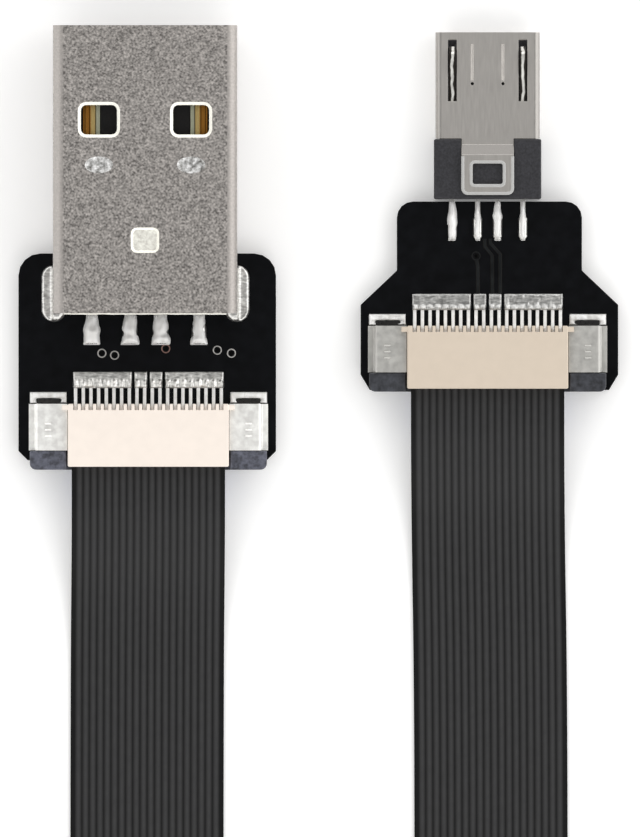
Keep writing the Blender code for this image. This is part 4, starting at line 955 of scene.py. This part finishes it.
class FLEXCABLE_OT_micro_b_plug(bpy.types.Operator):
    """Finish the Micro-B shell, its block, its contacts and its latch springs"""

    bl_idname = "flex_cable.make_micro_b_plug"
    bl_label = "Make the Micro-B plug"

    def execute(self, context):
        settings = context.scene.flex_plug
        low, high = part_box("micro_b_shell")
        axis = (low.x + high.x) / 2
        from_tip, from_axis, half_x, half_y = micro_b_bead

        def surface(middle, normal, area):
            away_x = abs(abs(middle.x - axis) - from_axis)
            away_y = abs(high.y - from_tip - middle.y)
            if away_x < half_x and away_y < half_y and normal.z > bead_rise and area < bead_area:
                return 2
            if not strip_rise[0] < normal.z < strip_rise[1] or area < strip_area:
                return 0
            return 3 if abs(normal.y) > step_lean else 1

        # Painted shade: the bends and the tab's step take colours darker than the flat steel
        bent = worked_steel("bent_stainless_strip", settings.bend_shade_colour, roughness=0.42)
        pressed = worked_steel("pressed_stainless_strip", settings.steel_colour, roughness=0.54)
        stepped = worked_steel("stepped_stainless_strip", settings.step_shade_colour, roughness=0.42)
        finish_node(
            "micro_b_shell", rolled_steel(settings), edge=0.09 * mm,
            others=(bent, pressed, stepped), choose=surface)

        # Shearing turned the edges of the tab and of its window over into soft bright rims
        sheared = worked_steel("sheared_stainless_strip", settings.rim_colour, roughness=0.75)
        section = round_section(tab_rim_width, tab_rim_height, 8)
        window, tab = (
            rounded_loop(Vector((axis, low.y + from_rear, high.z)), half_width, half_length, radius)
            for from_rear, half_width, half_length, radius in (tab_window, tab_outline))
        rear_corners = tab[len(tab) // 2:]
        reach = Vector((0.0, tab_rim_length, 0.0))
        bm = bmesh.new()
        sweep(bm, window, section, closed=True)
        sweep(bm, [rear_corners[0] + reach, *rear_corners, rear_corners[-1] + reach], section)
        new_piece("micro_b_tab_rim", bm, [sheared])

        # Glass-filled LCP, moulded dark grey, with a speckle of fibre ends
        grey = moulded_plastic(
            "moulded_lcp_grey", settings.block_colour, roughness=0.5, grain=0.14 * mm, contrast=0.35,
            specular=0.35)
        finish_node("micro_b_insulator", grey, edge=0.03 * mm)
        block_low, block_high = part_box("micro_b_insulator")
        tail_y = block_low.y + micro_b_tin
        plating = plated_contact("gold_flash_micro_b", settings, context.scene.flex_solder.colour, tail_y)
        for number in range(1, 6):
            finish_node(f"micro_b_contact_{number}", plating, edge=0.012 * mm)
        spring = banded_spring(settings, (block_low.x + block_high.x) / 2, micro_b_latch)
        for side in sides:
            finish_node(f"micro_b_latch_{side}", spring, edge=0.02 * mm)
        return {"FINISHED"}


nail_foot = 0.66 * mm           # a nail's foot, behind its bend
crease_shade_height = 0.3 * mm          # how high over the board the painted crease shade reaches on the foot
dash_places = (0.95 * mm, 1.35 * mm, 1.75 * mm)         # from the nail's other end
dash_width = 0.13 * mm
dash_height = 0.14 * mm


class FLEXCABLE_OT_ribbon_connectors(bpy.types.Operator):
    """Finish the ribbon connectors: housings, sliders, nails and pins"""

    bl_idname = "flex_cable.make_ribbon_connectors"
    bl_label = "Make the ribbon connectors"

    def execute(self, context):
        settings = context.scene.flex_connector
        pin_tin = matt_tin("bright_tin_plate", settings.pin_colour, roughness=0.76)
        crease_shade = painted_crease_shade(settings)
        for end in ends:
            name = f"connector_{end}"
            housing_colour, slider_colour, nail_colour = (
                getattr(settings, f"{piece}_colour_{end}") for piece in ("housing", "slider", "nail"))
            # Natural LCP, creamy and slightly waxy; and dyed PPA with a dull bluish skin
            cream = moulded_plastic(
                f"moulded_lcp_cream_{end}", housing_colour, roughness=0.5, grain=0.7 * mm, contrast=0.015)
            slate = moulded_plastic(
                f"moulded_ppa_slate_{end}", slider_colour, roughness=0.42, grain=0.34 * mm, contrast=0.6)
            nail_tin = matt_tin(f"matt_tin_plate_{end}", nail_colour, roughness=0.56)
            finish_node(f"{name}_housing", cream, edge=0.04 * mm)
            finish_node(f"{name}_slider", slate, edge=0.03 * mm, body=f"lock_slider_{end}")
            for group in pin_groups:
                finish_node(f"{name}_contacts_{group}", pin_tin, edge=0.015 * mm)
            for side in sides:
                nail = f"{name}_nail_{side}"
                foot_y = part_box(nail)[1].y - nail_foot

                # Painted shade: faces low on the nail's foot take the dark crease colour, seen where the
                # bead's crease leaves them bare
                def surface(middle, normal, area):
                    return int(middle.z < board_top + crease_shade_height and middle.y > foot_y)

                finish_node(nail, nail_tin, edge=0.03 * mm, others=[crease_shade], choose=surface)
                self.make_dashes(nail, settings, nail_tin)
        return {"FINISHED"}

    def make_dashes(self, nail, settings, material):
        """Three plain raised dashes, one below the other, as a stamped grip."""
        low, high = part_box(nail)
        start = (low.x + high.x - settings.dash_length) / 2
        section = round_section(dash_width, dash_height, 8)
        bm = bmesh.new()
        for from_end in dash_places:
            line = spread(start, start + settings.dash_length, 3)
            sweep(bm, [Vector((x, low.y + from_end, high.z)) for x in line], section)
        new_piece(f"{nail}_dashes", bm, [material])


# How a tail's solder widens from the plug to the far end of its pad: share of the length, half width
# and height
usb_a_tail_joint = (
    (0.0, 0.37 * mm, 0.36 * mm),
    (0.2, 0.42 * mm, 0.48 * mm),
    (0.45, 0.5 * mm, 0.52 * mm),
    (0.7, 0.51 * mm, 0.52 * mm),
    (0.88, 0.56 * mm, 0.52 * mm),
    (1.0, 0.6 * mm, 0.46 * mm),
)
micro_b_tail_joint = (
    (0.0, 0.16 * mm, 0.22 * mm),
    (0.25, 0.25 * mm, 0.36 * mm),
    (0.4, 0.33 * mm, 0.46 * mm),
    (0.7, 0.33 * mm, 0.48 * mm),
    (0.9, 0.31 * mm, 0.44 * mm),
    (1.0, 0.24 * mm, 0.14 * mm),
)
tail_overrun = 0.06 * mm        # how far a joint runs on past its tail
tail_clearance = 0.03 * mm      # and stays clear of the plug
tail_drift = 0.06 * mm          # how far it strays to the sides, and over what length
tail_drift_wave = 0.7 * mm
tail_bulge = 0.22               # how much its width varies, and over what length
tail_bulge_wave = 0.45 * mm

# A leg's fillet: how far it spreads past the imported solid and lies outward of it, the half width of
# its ends, the height of its rim, and the height, reach and rounding of its climb up the wall
leg_spread_x = 0.12 * mm
leg_spread_y = 0.04 * mm
leg_shift = 0.1 * mm
leg_end = 0.02 * mm
leg_rim = 0.28 * mm
leg_climb = 0.44 * mm
leg_climb_reach = 0.07 * mm
leg_climb_edge = 0.5 * mm

# A nail's bead: how far it is narrower than the nail and reaches past it, its height, its crease's half
# width, and how far the crease is from the nail's end and sides
bead_inset = 0.06 * mm
bead_over = 0.05 * mm
bead_height = 0.34 * mm
crease_half = 0.13 * mm
crease_from_end = 0.48 * mm
crease_from_side = 0.42 * mm

# How far each pad's solder has levelled out beyond the pins' feet, from rippled to flat, and how far
# it has risen along the feet
pad_calm = {"a": (0.95, 0.3, 0.3, 0.6), "b": (1.0, 0.8, 0.8, 0.3)}
pad_rise = {"a": 0.4 * mm, "b": 0.16 * mm}
pad_rise_fade = 0.2 * mm        # length over which the rise ends
pad_length = 1.03 * mm
pad_over = 0.02 * mm            # how far the solder reaches past its pad
pad_height = 0.16 * mm
pad_step = 0.035 * mm           # width of the faces of its skin
pin_pitch = 0.5 * mm
pin_half = 0.15 * mm
pin_reach = 0.14 * mm           # how far the solder over a pin's foot slopes off to both sides
pin_rise = 0.13 * mm            # how high it stands there
pin_trace = 0.02 * mm           # and what shows of it all along the pad


def between(stations, share):
    """The values of a table at a share between its stations."""
    for (start, *first), (end, *second) in zip(stations, stations[1:]):
        if share <= end:
            t = (share - start) / (end - start)
            return [a + (b - a) * t for a, b in zip(first, second)]
    return stations[-1][1:]


class FLEXCABLE_OT_solder(bpy.types.Operator):
    """Make the solder: round the shell's legs, over the tails, on the long pads and at the nails' feet"""

    bl_idname = "flex_cable.make_solder"
    bl_label = "Make the solder"

    def execute(self, context):
        settings = context.scene.flex_solder
        solder = reflowed_solder("reflowed_solder", settings.colour, settings)
        grey_solder = reflowed_solder("slowly_reflowed_solder", settings.grey_colour, settings)
        smooth_solder = drawn_solder(settings)
        self.make_tails(settings, smooth_solder)
        self.make_legs(settings, solder)
        for end, pad_solder in zip(ends, (solder, grey_solder)):
            self.make_pads(end, settings, pad_solder)
            self.make_nail_feet(end, settings, smooth_solder)
        return {"FINISHED"}

    def make_tails(self, settings, solder):
        """Solder drawn along each tail of the plugs' contacts."""
        shell_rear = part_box("usb_a_shell")[0].y
        bm = bmesh.new()
        for number in range(1, 5):
            low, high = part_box(f"usb_a_contact_{number}")
            self.add_tail(bm, (low.x + high.x) / 2, shell_rear, low.y, usb_a_tail_joint, settings, number)
        new_piece("usb_a_tail_solder", bm, [solder], crease=molten_turn)

        low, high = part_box("micro_b_insulator")
        tail_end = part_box("micro_b_contact_1")[0].y
        bm = bmesh.new()
        for number, (offset, width) in enumerate(micro_b_tails):
            middle = (low.x + high.x) / 2 + offset
            joint = [(share, width * half, height) for share, half, height in micro_b_tail_joint]
            self.add_tail(bm, middle, low.y, tail_end, joint, settings, 10 + number)
        new_piece("micro_b_tail_solder", bm, [solder], crease=molten_turn)

    def add_tail(self, bm, middle, start, end, stations, settings, layer):
        """One tail's joint, a little crooked and uneven."""
        rows = []
        for y in spread(end - tail_overrun, start - tail_clearance, 30):
            half, _ = between(stations, (start - y) / (start - end))
            drift = tail_drift * swell(0.0, y, tail_drift_wave, layer)
            half *= 1 + tail_bulge * swell(0.0, y, tail_bulge_wave, layer + 0.5)
            rows.append((y, middle + drift - half, middle + drift + half))

        def height_at(x, y, inset):
            half, height = between(stations, (start - y) / (start - end))
            skin = 1 + 0.2 * swell(x, y, 1.4 * settings.ripple, layer)
            return height * skin * rounded(inset, half)

        solder_skin(bm, rows, 14, height_at)

    def make_legs(self, settings, solder):
        """A fillet round each leg of the USB-A shell: a low rim on the pad, then a climb up the wall."""
        shell_low, shell_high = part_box("usb_a_shell")
        for side, wall in zip(sides, (shell_low.x, shell_high.x)):
            node = f"usb_a_leg_solder_{side}"
            low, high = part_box(node)
            outward = -1 if side == "left" else 1
            half_x = (high.x - low.x) / 2 + leg_spread_x
            half_y = (high.y - low.y) / 2 + leg_spread_y
            middle = Vector(((low.x + high.x) / 2 + outward * leg_shift, (low.y + high.y) / 2))
            rows = []
            for y in spread(middle.y - half_y, middle.y + half_y, 64):
                cap = max(abs(y - middle.y) - (half_y - half_x), 0.0)
                half = max(math.sqrt(max(half_x ** 2 - cap ** 2, 0.0)), leg_end)
                rows.append((y, middle.x - half, middle.x + half))

            def height_at(x, y, inset):
                from_wall = max((x - wall) * outward, 0.0)
                rim = leg_rim * (1 + 0.16 * swell(x, y, 2 * settings.ripple, 31.0 + outward))
                climb = leg_climb * math.exp(-from_wall / leg_climb_reach)
                return rounded(inset, 2.2 * settings.edge) * rim + rounded(inset, leg_climb_edge) * climb

            bm = bmesh.new()
            solder_skin(bm, rows, 56, height_at)
            piece = new_piece(f"{node}_finished", bm, [solder], crease=molten_turn)
            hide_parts(node)

    def make_pads(self, end, settings, solder):
        """Solder over the four long pads, risen over every pin's foot and thin and rippled beyond."""
        bm = bmesh.new()
        for layer, group in enumerate(pin_groups):
            low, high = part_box(f"connector_{end}_contacts_{group}")
            first_pin = low.x + pin_half
            pad_low = high.y - pad_length
            rise_end = pad_low + pad_rise[end] + pad_rise_fade

            def height_at(x, y, inset):
                away = (x - first_pin) / pin_pitch
                away = (away - round(away)) * pin_pitch
                on_foot = min(max((rise_end - y) / pad_rise_fade, 0.0), 1.0)
                pin = math.exp(-(away / pin_reach) ** 2) * (pin_rise * on_foot + pin_trace)
                calm = pad_calm[end][layer] * (1 - on_foot)
                broad = 0.06 * mm * swell(x, y, 2.2 * settings.ripple, 40.0 + layer)
                fine = 0.05 * mm * swell(x, y, 0.7 * settings.ripple, 50.0 + layer)
                return rounded(inset, settings.edge) * (pad_height + (broad + fine) * (1 - calm) + pin)

            columns = round((high.x - low.x) / pad_step)
            rows = [
                (y, low.x - pad_over, high.x + pad_over)
                for y in spread(pad_low - pad_over, high.y + pad_over, 28)]
            solder_skin(bm, rows, columns, height_at)
        new_piece(f"connector_{end}_pad_solder", bm, [solder], crease=molten_turn)

    def make_nail_feet(self, end, settings, solder):
        """A bead along each nail's foot, with the crease where it meets the bend."""
        bm = bmesh.new()
        for layer, side in enumerate(sides):
            low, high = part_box(f"connector_{end}_nail_{side}")
            middle = (low.x + high.x) / 2
            crease_reach = (high.x - low.x) / 2 - crease_from_side
            crease = high.y - crease_from_end
            rows = [
                (y, low.x + bead_inset, high.x - bead_inset)
                for y in spread(high.y - nail_foot, high.y + bead_over, 30)]

            def height_at(x, y, inset):
                bead = bead_height * (1 + 0.22 * swell(x, y, settings.ripple, 60.0 + layer))
                across = math.exp(-((y - crease) / crease_half) ** 4)
                along = math.exp(-((x - middle) / crease_reach) ** 6)
                return rounded(inset, settings.edge) * bead * (1 - 0.9 * across * along)

            solder_skin(bm, rows, 50, height_at)
        new_piece(f"connector_{end}_nail_solder", bm, [solder], crease=molten_turn)


class FLEXCABLE_PT_panel(bpy.types.Panel):
    """Settings and operators of the flat flex cable"""

    bl_idname = "FLEXCABLE_PT_panel"
    bl_label = "Flat flex USB cable"
    bl_space_type = "VIEW_3D"
    bl_region_type = "UI"
    bl_category = "Flex cable"

    def draw(self, context):
        for operator, group in build_order:
            box = self.layout.box()
            box.operator(operator.bl_idname)
            if group:
                settings = getattr(context.scene, group)
                for name in settings.bl_rna.properties.keys():
                    if name not in ("rna_type", "name"):
                        box.prop(settings, name)


build_order = (
    (FLEXCABLE_OT_stage, "flex_stage"),
    (FLEXCABLE_OT_ribbon, "flex_ribbon"),
    (FLEXCABLE_OT_boards, "flex_board"),
    (FLEXCABLE_OT_usb_a_plug, "flex_plug"),
    (FLEXCABLE_OT_micro_b_plug, None),
    (FLEXCABLE_OT_ribbon_connectors, "flex_connector"),
    (FLEXCABLE_OT_solder, "flex_solder"),
)
setting_groups = {
    "flex_stage": StageSettings,
    "flex_ribbon": RibbonSettings,
    "flex_plug": PlugSettings,
    "flex_board": BoardSettings,
    "flex_connector": ConnectorSettings,
    "flex_solder": SolderSettings,
}


def register():
    for group in setting_groups.values():
        bpy.utils.register_class(group)
    for name, group in setting_groups.items():
        setattr(bpy.types.Scene, name, PointerProperty(type=group))
    for operator, _ in build_order:
        bpy.utils.register_class(operator)
    bpy.utils.register_class(FLEXCABLE_PT_panel)


def unregister():
    bpy.utils.unregister_class(FLEXCABLE_PT_panel)
    for operator, _ in reversed(build_order):
        bpy.utils.unregister_class(operator)
    for name, group in setting_groups.items():
        delattr(bpy.types.Scene, name)
        bpy.utils.unregister_class(group)


def main():
    register()
    for operator, _ in build_order:
        action = operator.bl_idname.split(".")[1]
        getattr(bpy.ops.flex_cable, action)()


if __name__ == "__main__":
    main()
